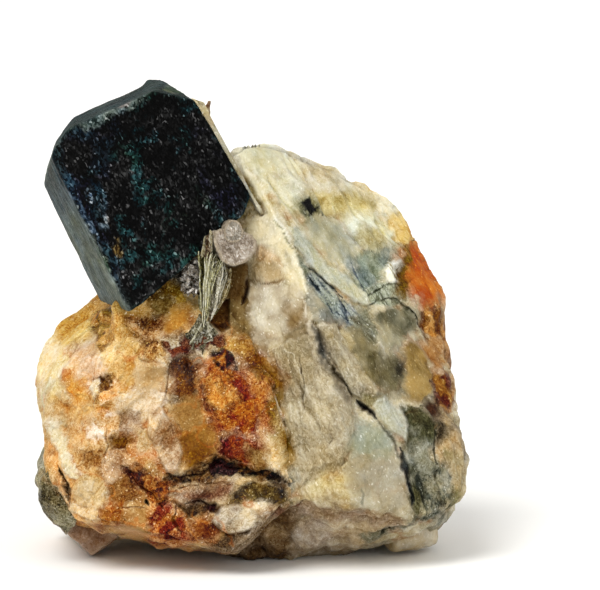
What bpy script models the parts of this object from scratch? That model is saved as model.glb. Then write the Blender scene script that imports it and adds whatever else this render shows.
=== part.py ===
"""Triphylite crystal standing on a block of feldspar and iron-stained quartz.

The specimen is described as a few soft-edged convex masses, each given by its
flat faces, with ledges, facets, cracks and pits worked into the broken skin.
Millimetres throughout; the mesh is written in metres at the end.
X runs to the right in the front view, Y away from the viewer, Z up.
"""
import math

import bmesh
import bpy
import numpy as np

MM = 0.001
GAP = 0.3                # clearance between pieces that touch
FLOOR = 0.0              # height of the flat the specimen rests on
TO_FRAME = (0.53, 0.25, 0.0)   # puts the origin under the middle of the whole box
MATRIX_TRIANGLES = 7200

# Each face is (azimuth, elevation, distance from the centre): azimuth 0 looks
# to the front, 90 to the right, 180 to the back; elevation 90 looks up.
CRYSTAL_CENTRE = (-12.7, -11.0, 48.9)
CRYSTAL_FACES = {
    "front": (13, 6, 5.2),
    "front left bevel": (-17, -5, 8.3),
    "left": (-69, -24, 10.3),
    "top": (-84, 67, 11.8),
    "top right": (73, 75, 13.0),
    "right": (108, 29, 9.9),
    "bottom": (110, -51, 8.9),
    "back": (-167, -6, 8.3),
    "left corner": (-87, 16, 13.3),
    "top left corner": (-88, 36, 13.2),
    "right corner": (99, -22, 11.8),
}

FELDSPAR_CENTRE = (8.0, 1.0, 24.0)
FELDSPAR_FACES = {
    "upper right slope": (54, 32, 13.9),
    "front": (-11, 4, 18.9),
    "front right": (28, 6, 19.7),
    "cream slope": (-20, 12, 19.0),
    "left side": (-85, 24, 23.0),
    "crest left": (-113, 48, 25.8),
    "crest": (151, 70, 26.8),
    "shoulder": (123, 58, 25.0),
    "upper right side": (107, 18, 19.9),
    "right side": (106, -3, 17.2),
    "low right side": (93, 4, 18.6),
    "underside": (0, -49, 23.9),
    "left underside": (-50, -53, 26.8),
    "right underside": (72, -43, 27.4),
    "low right underside": (46, -73, 24.9),
    "back": (172, 13, 15.9),
    "back left": (-140, 10, 20.1),
    "back right": (130, 10, 17.7),
    "low back": (175, -30, 21.8),
    "inner left": (-90, 0, 14.0),
    "floor": (0, -90, 24.6),
}

QUARTZ_CENTRE = (-13.2, -2.0, 16.8)
QUARTZ_FACES = {
    "left side": (-86, -5, 14.0),
    "upper left side": (-75, 25, 16.6),
    "left shoulder": (-62, 56, 17.6),
    "front left": (-40, 8, 16.0),
    "upper front left": (-22, 34, 18.5),
    "amber slope": (4, 26, 18.8),
    "front": (-3, 6, 16.3),
    "top": (-20, 78, 21.5),
    "low left": (-72, -32, 16.1),
    "underside": (-33, -68, 15.6),
    "back": (178, 12, 15.4),
    "back left": (-135, 8, 12.9),
    "right underside": (73, -46, 20.8),
    "seam": (109, 15, 12.1),
    "floor": (0, -90, 15.2),
}

SEAT_CENTRE = (-10.9, -8.0, 34.2)
SEAT_FACES = {
    "front": (2, 14, 6.0),
    "right": (80, 10, 8.2),
    "left": (-85, 2, 6.8),
    "top": (-20, 75, 8.3),
    "top left": (-90, 53, 4.3),
    "back": (180, 5, 10.6),
    "bottom": (0, -90, 8.0),
}

SHEET_CENTRE = (-2.0, -6.3, 49.9)
SHEET_FACES = {
    "inner": (-72, -29, 0.5),
    "outer": (108, 29, 0.6),
    "front": (13, 6, 6.1),
    "back": (-167, -6, 3.7),
    "top": (108, 71, 8.1),
    "bottom": (-10, -65, 5.6),
}

DARK_LUMP_CENTRE = (-25.3, -8.0, 9.2)
DARK_LUMP_FACES = {
    "left": (-80, 10, 2.5),
    "front": (0, 10, 2.6),
    "low front": (-30, -40, 2.6),
    "top left": (-60, 50, 3.2),
    "top right": (60, 40, 3.5),
    "right": (100, -20, 3.0),
    "back": (180, 0, 5.5),
    "low left": (-90, -35, 2.4),
}

LEFT_NUB_CENTRE = (-20.3, -5.0, 2.7)
LEFT_NUB_FACES = {
    "left": (-70, -10, 2.8),
    "front": (0, 5, 2.5),
    "low right": (60, -30, 2.8),
    "floor": (0, -90, 3.0),
    "top": (0, 80, 3.0),
    "back": (180, 0, 4.5),
    "right": (110, 10, 3.8),
    "upper left": (-60, 35, 2.7),
}

RIGHT_NUB_CENTRE = (21.1, -6.0, 3.0)
RIGHT_NUB_FACES = {
    "right": (70, 0, 2.4),
    "front": (0, 0, 2.4),
    "left": (-70, 0, 2.6),
    "floor": (0, -90, 2.2),
    "top": (0, 80, 2.6),
    "back": (180, 0, 4.5),
    "low front": (30, -55, 1.9),
}

# Worked areas of the broken front: outline as (x, z) corners and the height
# the area stands proud of the mass (less than nothing: set back).
FELDSPAR_AREAS = {
    "upper facet": (0.5, [(-0.4, 36.2), (1.8, 37.2), (6.6, 37), (7.8, 34), (8.5, 31), (4.7, 30.2), (1.8, 29.4)]),
    "main slab": (0.7, [(2.3, 29.5), (8.3, 30.8), (10.4, 26.6), (13.2, 21.5), (14, 16.4), (11.7, 12.6), (6.6, 12.7)]),
    "rib": (0.7, [(8.9, 32.5), (11.8, 31.6), (12.4, 29.3), (16.6, 23.3), (15.8, 21.9), (13, 23.4), (9.4, 29.7)]),
    "pale lens": (0.8, [(15.8, 22.3), (18.8, 22), (20.2, 19.5), (19.8, 17.1), (17.5, 19.2)]),
    "grey slab": (-0.9, [(20.6, 20), (21, 9.4), (21.9, 5), (30, 5), (30, 19), (25, 20.5)]),
    "grey blob": (0.8, [(16.8, 32), (19.8, 32.7), (22.6, 31.5), (23, 29.3), (19.7, 28.1), (17, 27.8)]),
    "brown blob": (0.6, [(19.7, 27.5), (23.1, 27.5), (24.7, 24.4), (24.2, 20.5), (20.8, 21.1), (19.6, 24.1)]),
    "olive hollow": (-1.3, [(16.3, 27.9), (19.4, 27.4), (19.5, 21.9), (17.6, 23.9), (16.3, 26.4)]),
    "pale strip": (0.5, [(4.4, 45.5), (6.6, 44), (15.1, 34), (12.4, 34.4), (7.9, 39.5)]),
    "shaded recess": (-1.2, [(-3, 39.3), (-0.1, 39.8), (0.5, 35), (-1.1, 30.6), (-3.4, 31.1)]),
}
QUARTZ_AREAS = {
    "quad facet": (0.5, [(-15.3, 27.4), (-10.2, 27.9), (-10.2, 23.2), (-12.5, 21.6), (-15.1, 23.6)]),
    "olive facet": (-0.8, [(-10.1, 29.1), (-5.5, 28.9), (-5.5, 21.6), (-9.7, 21.6)]),
    "bright facet": (0.7, [(-13.8, 21.3), (-11.5, 22), (-8.4, 17.6), (-9.3, 13.8), (-12.3, 15)]),
    "orange band": (0.5, [(-5.5, 27.6), (-1, 27), (1.8, 20.2), (1.8, 15.1), (-3.3, 14.8), (-3.3, 18.9)]),
    "beige ledge": (0.8, [(-10, 12.3), (-1, 12.5), (-1, 10), (-8, 9.7)]),
    "olive ledge": (0.3, [(-1, 12.5), (4.7, 12.3), (5.3, 9.1), (-0.4, 9.4)]),
    "low recess": (-0.9, [(-8.9, 9.7), (-3.3, 9.6), (-3.6, 8.5), (-8.4, 8.4)]),
    "white chip": (0.9, [(-4.5, 8.5), (-2, 9.4), (1.3, 8.1), (0.2, 6.5), (-2.9, 5.8), (-4.5, 7.2)]),
    "grey hollow": (-1.0, [(-17.6, 22.5), (-14.4, 21.9), (-14.4, 16.2), (-17.4, 16), (-18.5, 18.7)]),
    "pink facet": (0.5, [(-22.3, 28.4), (-17.7, 29.3), (-17.4, 25.1), (-21.6, 24.1)]),
    "cream facet": (0.5, [(-27, 27), (-23.2, 29.3), (-22.7, 22), (-23.5, 14.4), (-26, 15.3)]),
    "oval chip": (0.7, [(-21.8, 12.3), (-19.2, 13), (-18.9, 9.8), (-21, 8.9), (-22.1, 10.1)]),
    "dark hole": (-1.4, [(-10.2, 29.4), (-7.8, 29.6), (-7.7, 28.4), (-10, 28.2)]),
    "low lump": (0.6, [(-16.6, 8), (-12.5, 8.4), (-12.2, 3.6), (-16.1, 4)]),
    "rust lump": (0.7, [(-12.3, 9.3), (-7.4, 8.7), (-7.3, 3.6), (-11, 3.4)]),
}

# Cracks run through (x, z) points, each with a depth and a half width.
FELDSPAR_CRACKS = {
    "dark groove": (1.5, 0.5, [(8.3, 32.6), (9.4, 29.1), (12.3, 24), (15.8, 20.7), (18.1, 17.9), (19.8, 13.3), (21, 8)]),
    "blue streak": (0.8, 0.7, [(6, 41.2), (9.2, 36.7), (13.1, 32.1)]),
    "corner crack": (0.8, 0.4, [(17.8, 35.4), (19.8, 33.3), (21.9, 31.2), (23.2, 28.7)]),
    "cream crack": (0.7, 0.35, [(0.6, 37.2), (4.7, 37.3)]),
    "slab crack": (0.5, 0.35, [(6.6, 28.5), (6.9, 24), (7.6, 20)]),
    "under streak": (0.5, 0.4, [(2.8, 6.9), (7.3, 9)]),
}
QUARTZ_CRACKS = {
    "long crack": (1.8, 0.7, [(-11.5, 14), (-6.1, 13.4), (-1, 13.8), (3.1, 12.8)]),
    "left crack": (0.7, 0.4, [(-16.8, 22.5), (-17.2, 17), (-18.8, 13), (-18.4, 8)]),
    "top crack": (0.6, 0.4, [(-15.5, 31), (-14.4, 28), (-12, 28.6), (-10.2, 27.5)]),
}

# Mica book: blades that fan out from one point, given by where each one ends.
BOOK_TOP = (-5.25, 44.2)
BOOK_TOP_FRONT = -17.9
BOOK_TOP_BACK = -15.9
BOOK_FOOT_BACK = -13.4
BOOK_BLADES = [
    (-8.9, 29.6, -17.2),
    (-8.0, 29.0, -17.7),
    (-7.1, 29.4, -17.3),
    (-6.2, 28.7, -17.9),
    (-5.3, 29.1, -17.5),
    (-4.5, 28.8, -17.8),
    (-3.8, 29.8, -17.1),
]
BLADE_HALF_TOP = 0.45
BLADE_HALF_FOOT = 0.55

# Mica flake: a round plate turned a little to the right, on a thicker foot.
FLAKE_CENTRE = (-1.9, -15.7, 41.3)
FLAKE_AZIMUTH = 22
FLAKE_OUTLINE = [(-2.9, 1.3), (-1.2, 2.7), (0.5, 2.8), (1.5, 1.5), (3.0, 0.4), (2.7, -0.9),
                 (1.6, -2.3), (-0.5, -2.9), (-1.9, -2.5), (-2.8, -1.0)]
FLAKE_THICKNESS = 1.1
FOOT_OUTLINE = [(-0.6, 0.2), (1.2, 0.4), (2.6, 0.0), (2.2, -1.2), (1.2, -2.0), (-0.3, -2.2)]
FOOT_THICKNESS = 3.4

STONE_COLOURS = {
    "triphylite_crystal": (0.02, 0.035, 0.05, 1.0),
    "matrix": (0.62, 0.48, 0.33, 1.0),
    "mica_book": (0.42, 0.37, 0.28, 1.0),
    "mica_flake": (0.60, 0.50, 0.44, 1.0),
}


def unit(azimuth, elevation):
    """Unit vector for an azimuth and elevation in degrees."""
    a = math.radians(azimuth)
    e = math.radians(elevation)
    return np.array([math.sin(a) * math.cos(e), -math.cos(a) * math.cos(e), math.sin(e)])


def smoothstep(low, high, value):
    """Ease from nothing at low to one at high."""
    t = np.clip((value - low) / (high - low), 0.0, 1.0)
    return t * t * (3.0 - 2.0 * t)


def inside_distance(points, outline):
    """Distance of 2-D points to a closed outline, above nothing inside it."""
    corners = np.array(outline, float)
    nearest = np.full(len(points), np.inf)
    inside = np.zeros(len(points), bool)
    for a, b in zip(corners, np.roll(corners, -1, axis=0)):
        along = b - a
        from_a = points - a
        t = np.clip(from_a @ along / (along @ along), 0.0, 1.0)
        nearest = np.minimum(nearest, np.linalg.norm(from_a - t[:, None] * along, axis=1))
        crosses = (a[1] > points[:, 1]) != (b[1] > points[:, 1])
        rise = along[1] if abs(along[1]) > 1e-9 else 1e-9
        inside ^= crosses & (points[:, 0] < a[0] + along[0] * (points[:, 1] - a[1]) / rise)
    return np.where(inside, nearest, -nearest)


def path_distance(points, path):
    """Distance of 2-D points to an open path."""
    nearest = np.full(len(points), np.inf)
    for a, b in zip(np.array(path[:-1], float), np.array(path[1:], float)):
        along = b - a
        from_a = points - a
        t = np.clip(from_a @ along / (along @ along), 0.0, 1.0)
        nearest = np.minimum(nearest, np.linalg.norm(from_a - t[:, None] * along, axis=1))
    return nearest


def lattice_noise(points, size, seed):
    """Smooth noise between -1 and 1 with features of the given size in mm."""
    table = np.random.default_rng(seed).uniform(-1.0, 1.0, (32, 32, 32))
    scaled = points / size + 100.0
    cell = np.floor(scaled).astype(int)
    part = scaled - cell
    part = part * part * (3.0 - 2.0 * part)
    total = np.zeros(len(points))
    for corner in np.ndindex(2, 2, 2):
        index = (cell + corner) % 32
        weight = np.prod(np.where(np.array(corner), part, 1.0 - part), axis=1)
        total += weight * table[index[:, 0], index[:, 1], index[:, 2]]
    return total


def broken_facets(points, centre, reach, count, tilt, seed):
    """Height of a skin broken into flat facets, each leaning its own way."""
    rng = np.random.default_rng(seed)
    seeds = np.array(centre) + rng.uniform(-reach, reach, (count, 3))
    leans = rng.normal(0.0, tilt, (count, 3))
    squared = (points ** 2).sum(1)[:, None] + (seeds ** 2).sum(1)[None] - 2.0 * points @ seeds.T
    nearest = squared.argmin(1)
    return ((points - seeds[nearest]) * leans[nearest]).sum(1)


def skin_radius(directions, faces, roundness):
    """Distance to the soft-edged convex skin along each unit direction."""
    normals = np.array([unit(azimuth, elevation) for azimuth, elevation, _ in faces.values()])
    distances = np.array([distance for _, _, distance in faces.values()])
    reach = np.clip(directions @ normals.T / distances, 1e-6, None)
    return ((reach ** roundness).sum(1)) ** (-1.0 / roundness)


def front_relief(points, areas, cracks):
    """Height the worked areas and cracks add on the front of a mass."""
    flat = points[:, [0, 2]]
    wander = np.stack([lattice_noise(points, 2.5, 11), lattice_noise(points, 2.5, 12)], axis=1)
    flat = flat + 0.35 * wander
    height = np.zeros(len(points))
    for lift, outline in areas.values():
        height += lift * smoothstep(-0.25, 0.35, inside_distance(flat, outline))
    for depth, half_width, path in cracks.values():
        height -= depth * np.exp(-(path_distance(flat, path) / half_width) ** 2)
    return height * smoothstep(2.0, -4.0, points[:, 1])


def mesh_object(name, bm, collection):
    """Wrap a mesh given in mm as an object in metres."""
    mesh = bpy.data.meshes.new(name)
    bmesh.ops.translate(bm, vec=TO_FRAME, verts=bm.verts)
    bmesh.ops.scale(bm, vec=(MM, MM, MM), verts=bm.verts)
    bmesh.ops.recalc_face_normals(bm, faces=bm.faces)
    bm.to_mesh(mesh)
    bm.free()
    made = bpy.data.objects.new(name, mesh)
    collection.objects.link(made)
    return made


def stone_mass(name, centre, faces, roundness, fineness, collection, areas=None, cracks=None, seed=1):
    """A rounded, broken stone mass about its centre."""
    bm = bmesh.new()
    bmesh.ops.create_icosphere(bm, subdivisions=fineness, radius=1.0)
    directions = np.array([v.co[:] for v in bm.verts])
    directions /= np.linalg.norm(directions, axis=1)[:, None]
    points = np.array(centre) + directions * skin_radius(directions, faces, roundness)[:, None]
    height = 0.45 * lattice_noise(points, 6.0, seed) + 0.25 * lattice_noise(points, 2.6, seed + 1)
    height += np.clip(broken_facets(points, centre, 28.0, 700, 0.16, seed + 2), -0.7, 0.7)
    if areas:
        height += front_relief(points, areas, cracks)
    points += directions * height[:, None]
    for vertex, point in zip(bm.verts, points):
        vertex.co = point
    return mesh_object(name, bm, collection)


def flat_sided(name, centre, faces, collection, grow=0.0):
    """An exact convex solid: a cube cut down by every face in turn."""
    bm = bmesh.new()
    bmesh.ops.create_cube(bm, size=200.0)
    for azimuth, elevation, distance in faces.values():
        normal = unit(azimuth, elevation)
        everything = bm.verts[:] + bm.edges[:] + bm.faces[:]
        cut = bmesh.ops.bisect_plane(
            bm, geom=everything, dist=1e-4, plane_co=normal * (distance + grow), plane_no=normal, clear_outer=True)
        rim = [item for item in cut["geom_cut"] if isinstance(item, bmesh.types.BMEdge)]
        bmesh.ops.edgenet_fill(bm, edges=rim)
    bmesh.ops.translate(bm, vec=centre, verts=bm.verts)
    return mesh_object(name, bm, collection)


def hull_of(name, corners, collection, grow=0.0):
    """Convex solid round a set of corners, grown on every side."""
    bm = bmesh.new()
    for corner in corners:
        for step in np.ndindex(2, 2, 2):
            bm.verts.new(np.array(corner) + grow * (2.0 * np.array(step) - 1.0))
    bmesh.ops.remove_doubles(bm, verts=bm.verts, dist=1e-4)
    hull = bmesh.ops.convex_hull(bm, input=bm.verts)
    spare = [item for item in hull["geom_interior"] if isinstance(item, bmesh.types.BMVert)]
    bmesh.ops.delete(bm, geom=spare, context="VERTS")
    bmesh.ops.dissolve_limit(bm, angle_limit=0.01, verts=bm.verts, edges=bm.edges)
    return mesh_object(name, bm, collection)


def boolean(target, operation, tool):
    """Add an exact Boolean with a tool that stays in the cutters' collection."""
    modifier = target.modifiers.new(f"{operation.lower()} {tool.name}", "BOOLEAN")
    modifier.operation = operation
    modifier.solver = "EXACT"
    modifier.object = tool


def settle(target):
    """Replace a mesh by its evaluated shape and drop the modifiers."""
    bpy.context.view_layer.update()
    evaluated = target.evaluated_get(bpy.context.evaluated_depsgraph_get())
    mesh = bpy.data.meshes.new_from_object(evaluated)
    target.modifiers.clear()
    target.data = mesh


def thin_out(target, triangles):
    """Collapse the finest triangles, keeping the ledges and edges."""
    count = sum(len(face.vertices) - 2 for face in target.data.polygons)
    modifier = target.modifiers.new("thin out", "DECIMATE")
    modifier.ratio = triangles / count
    modifier.use_collapse_triangulate = True
    settle(target)


def plane_off_below(target, height):
    """Cut the base flat so that the specimen rests on real faces."""
    bm = bmesh.new()
    bm.from_mesh(target.data)
    everything = bm.verts[:] + bm.edges[:] + bm.faces[:]
    cut = bmesh.ops.bisect_plane(
        bm, geom=everything, dist=1e-7, plane_co=(0, 0, height * MM), plane_no=(0, 0, -1), clear_outer=True)
    rim = [item for item in cut["geom_cut"] if isinstance(item, bmesh.types.BMEdge)]
    bmesh.ops.edgenet_fill(bm, edges=rim)
    bmesh.ops.triangulate(bm, faces=bm.faces)
    bmesh.ops.recalc_face_normals(bm, faces=bm.faces)
    bm.to_mesh(target.data)
    bm.free()


def blade_corners(foot_x, foot_z, front):
    """Eight corners of one mica blade from the fan's top to its foot."""
    top_x, top_z = BOOK_TOP
    corners = []
    for side in (-1.0, 1.0):
        corners.append((top_x + side * BLADE_HALF_TOP, BOOK_TOP_FRONT, top_z))
        corners.append((top_x + side * BLADE_HALF_TOP, BOOK_TOP_BACK, top_z - 0.6))
        corners.append((foot_x + side * BLADE_HALF_FOOT, front, foot_z))
        corners.append((foot_x + side * BLADE_HALF_FOOT, BOOK_FOOT_BACK, foot_z + 0.8))
    return corners


def plate_corners(outline, front, thickness):
    """Corners of a flat plate: its outline at the front and at the back."""
    facing = unit(FLAKE_AZIMUTH, 0)
    across = unit(FLAKE_AZIMUTH + 90, 0)
    corners = []
    for depth in (front, front + thickness):
        for right, up in outline:
            corners.append(np.array(FLAKE_CENTRE) + right * across + np.array([0, 0, up]) - depth * facing)
    return corners


def build_matrix(collection, cutters, pockets):
    """The stone block: feldspar, stained quartz and their lumps in one solid."""
    matrix = stone_mass("matrix", FELDSPAR_CENTRE, FELDSPAR_FACES, 50, 6, collection,
                        FELDSPAR_AREAS, FELDSPAR_CRACKS, 21)
    tools = [
        stone_mass("quartz_mass", QUARTZ_CENTRE, QUARTZ_FACES, 50, 6, cutters,
                   QUARTZ_AREAS, QUARTZ_CRACKS, 31),
        stone_mass("quartz_seat", SEAT_CENTRE, SEAT_FACES, 30, 4, cutters, seed=41),
        stone_mass("dark_lump", DARK_LUMP_CENTRE, DARK_LUMP_FACES, 8, 4, cutters, seed=51),
        stone_mass("left_nub", LEFT_NUB_CENTRE, LEFT_NUB_FACES, 8, 4, cutters, seed=61),
        stone_mass("right_nub", RIGHT_NUB_CENTRE, RIGHT_NUB_FACES, 8, 4, cutters, seed=71),
        flat_sided("pale_sheet", SHEET_CENTRE, SHEET_FACES, cutters),
    ]
    for tool in tools:
        boolean(matrix, "UNION", tool)
    settle(matrix)
    thin_out(matrix, MATRIX_TRIANGLES)
    plane_off_below(matrix, FLOOR)
    for pocket in pockets:
        boolean(matrix, "DIFFERENCE", pocket)
    return matrix


def build_crystal(collection):
    """The triphylite crystal: flat faces with a hair of wear on the edges."""
    crystal = flat_sided("triphylite_crystal", CRYSTAL_CENTRE, CRYSTAL_FACES, collection)
    bevel = crystal.modifiers.new("worn edges", "BEVEL")
    bevel.width = 0.35 * MM
    bevel.segments = 2
    bevel.limit_method = "ANGLE"
    bevel.angle_limit = math.radians(12)
    return crystal


def build_mica_book(collection, cutters):
    """The fan of mica blades as one solid."""
    book = hull_of("mica_book", blade_corners(*BOOK_BLADES[0]), collection)
    for number, foot in enumerate(BOOK_BLADES[1:], 2):
        boolean(book, "UNION", hull_of(f"blade_{number}", blade_corners(*foot), cutters))
    return book


def build_mica_flake(collection, cutters):
    """The round mica flake and the foot that holds it to the feldspar."""
    flake = hull_of("mica_flake", plate_corners(FLAKE_OUTLINE, 0.0, FLAKE_THICKNESS), collection)
    foot = hull_of("flake_foot", plate_corners(FOOT_OUTLINE, 0.5, FOOT_THICKNESS), cutters)
    boolean(flake, "UNION", foot)
    return flake


def paint(target):
    """Give a node its own plain Principled material."""
    material = bpy.data.materials.new(f"{target.name} stone")
    material.use_nodes = True
    shader = material.node_tree.nodes["Principled BSDF"]
    shader.inputs["Base Color"].default_value = STONE_COLOURS[target.name]
    shader.inputs["Roughness"].default_value = 0.5
    target.data.materials.clear()
    target.data.materials.append(material)


def main():
    for old in list(bpy.data.objects):
        bpy.data.objects.remove(old, do_unlink=True)
    parts = bpy.data.collections.new("triphylite_specimen")
    cutters = bpy.data.collections.new("cutters")
    bpy.context.scene.collection.children.link(parts)
    bpy.context.scene.collection.children.link(cutters)

    crystal = build_crystal(parts)
    book = build_mica_book(parts, cutters)
    flake = build_mica_flake(parts, cutters)

    blades = [corner for foot in BOOK_BLADES for corner in blade_corners(*foot)]
    plates = plate_corners(FLAKE_OUTLINE, 0.0, FLAKE_THICKNESS) + plate_corners(FOOT_OUTLINE, 0.5, FOOT_THICKNESS)
    crystal_room = flat_sided("crystal_room", CRYSTAL_CENTRE, CRYSTAL_FACES, cutters, GAP)
    book_room = hull_of("book_room", blades, cutters, GAP)
    flake_room = hull_of("flake_room", plates, cutters, GAP)
    matrix = build_matrix(parts, cutters, [crystal_room, book_room, flake_room])
    boolean(book, "DIFFERENCE", crystal_room)
    boolean(book, "DIFFERENCE", flake_room)
    boolean(flake, "DIFFERENCE", crystal_room)

    for tool in cutters.objects:
        tool.hide_render = True
        tool.display_type = "WIRE"
    for part in (crystal, matrix, book, flake):
        paint(part)


main()
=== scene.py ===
"""Triphylite crystal on feldspar and iron-stained quartz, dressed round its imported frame.

Lengths are millimetres in the drawing frame of the part, and the meshes are written in metres.
X runs to the right, Y away from the viewer, Z up. Traced areas, cracks and splinters are given
where the photograph's view shows them, in its pixels; one pixel is 0.13 mm on the specimen.
Azimuth 0 faces the viewer, 90 the right, 180 the back; elevation 90 faces up.
"""

import itertools
import logging
import math
from dataclasses import dataclass, field
from enum import Enum
from typing import Iterator

import bpy
import mathutils
import numpy as np
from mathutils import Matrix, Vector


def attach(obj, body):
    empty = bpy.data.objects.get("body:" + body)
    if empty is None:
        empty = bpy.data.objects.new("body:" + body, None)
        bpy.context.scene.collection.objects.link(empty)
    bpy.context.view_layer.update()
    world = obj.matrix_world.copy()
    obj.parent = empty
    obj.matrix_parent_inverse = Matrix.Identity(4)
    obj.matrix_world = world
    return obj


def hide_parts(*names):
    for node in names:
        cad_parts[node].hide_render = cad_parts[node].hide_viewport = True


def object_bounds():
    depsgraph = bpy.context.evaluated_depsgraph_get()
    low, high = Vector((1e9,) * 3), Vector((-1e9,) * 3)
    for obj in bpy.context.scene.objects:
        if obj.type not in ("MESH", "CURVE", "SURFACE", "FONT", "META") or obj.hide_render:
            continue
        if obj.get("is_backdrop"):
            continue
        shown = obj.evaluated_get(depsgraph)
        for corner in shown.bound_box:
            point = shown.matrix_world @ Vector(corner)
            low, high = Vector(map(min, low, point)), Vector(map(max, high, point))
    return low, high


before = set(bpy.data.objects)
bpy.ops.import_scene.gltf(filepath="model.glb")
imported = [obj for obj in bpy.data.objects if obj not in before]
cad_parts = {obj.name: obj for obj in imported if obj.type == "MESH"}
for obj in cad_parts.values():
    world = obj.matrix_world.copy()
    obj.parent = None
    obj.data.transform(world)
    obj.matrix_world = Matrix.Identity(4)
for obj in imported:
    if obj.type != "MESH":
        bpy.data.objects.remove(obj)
CAD_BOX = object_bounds()

log = logging.getLogger("triphylite")

MM = 0.001
TO_FRAME = np.array((0.53, 0.25, 0.0))
BODY = "root"

Pixels = tuple[tuple[float, float], ...]
Face = tuple[float, float, float]
Point = tuple[float, float, float]


@dataclass(frozen=True)
class PhotoView:
    """The photograph's own view of the specimen.

    A point's place in the picture is its offset from the aim, divided by its depth.
    """

    width: int = 600
    height: int = 590
    tilt: float = 7.0
    distance: float = 441.3
    aim: Point = (6.62, 0.0, 33.9)
    lens: float = 200.0
    sensor: float = 36.0

    @property
    def pitch(self) -> float:
        """Size of one pixel at the aim, in mm."""
        return self.sensor / self.lens * self.distance / self.width

    @property
    def toward(self) -> np.ndarray:
        """Unit vector from the specimen to the camera."""
        t = math.radians(self.tilt)
        return np.array((0.0, -math.cos(t), math.sin(t)))

    @property
    def upward(self) -> np.ndarray:
        """Unit vector that is up in the picture."""
        t = math.radians(self.tilt)
        return np.array((0.0, math.sin(t), math.cos(t)))

    @property
    def eye(self) -> np.ndarray:
        """Place of the camera in mm."""
        return np.array(self.aim) + self.toward * self.distance

    def plane(self, points: np.ndarray) -> np.ndarray:
        """Where points show, in mm right of and above the picture's middle.

        Args:
            points: Places in mm, one row each.

        Returns:
            Two columns, right and up.
        """
        offset = points - np.array(self.aim)
        scale = self.distance / (self.distance - offset @ self.toward)
        return np.stack((offset[:, 0] * scale, offset @ self.upward * scale), axis=1)

    def trace(self, outline: Pixels) -> np.ndarray:
        """Corners given in pixels, turned to mm right of and above the picture's middle."""
        middle = np.array((self.width, self.height)) / 2
        return (np.array(outline, float) - middle) * (self.pitch, -self.pitch)

    def rays(self, flat: np.ndarray) -> np.ndarray:
        """Ways from the eye to places in the picture, each as long as the aim is far."""
        sideways = flat[:, :1] * np.array((1.0, 0.0, 0.0))
        return sideways + flat[:, 1:] * self.upward - self.toward * self.distance

    def lift_off(self, outline: Pixels, depth: float | np.ndarray) -> np.ndarray:
        """Places on the specimen that traced pixels show.

        Args:
            outline: Pixels, one row each.
            depth: Their y in mm, one for all or one each.

        Returns:
            Places in mm, one row each.
        """
        ray = self.rays(self.trace(outline))
        return self.eye + ray * ((depth - self.eye[1]) / ray[:, 1])[:, None]


VIEW = PhotoView()


@dataclass(frozen=True)
class Lamp:
    """A soft light: where it stands and how wide it is, in degrees, and how strong it is."""

    azimuth: float
    elevation: float
    width: float
    strength: float


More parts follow.
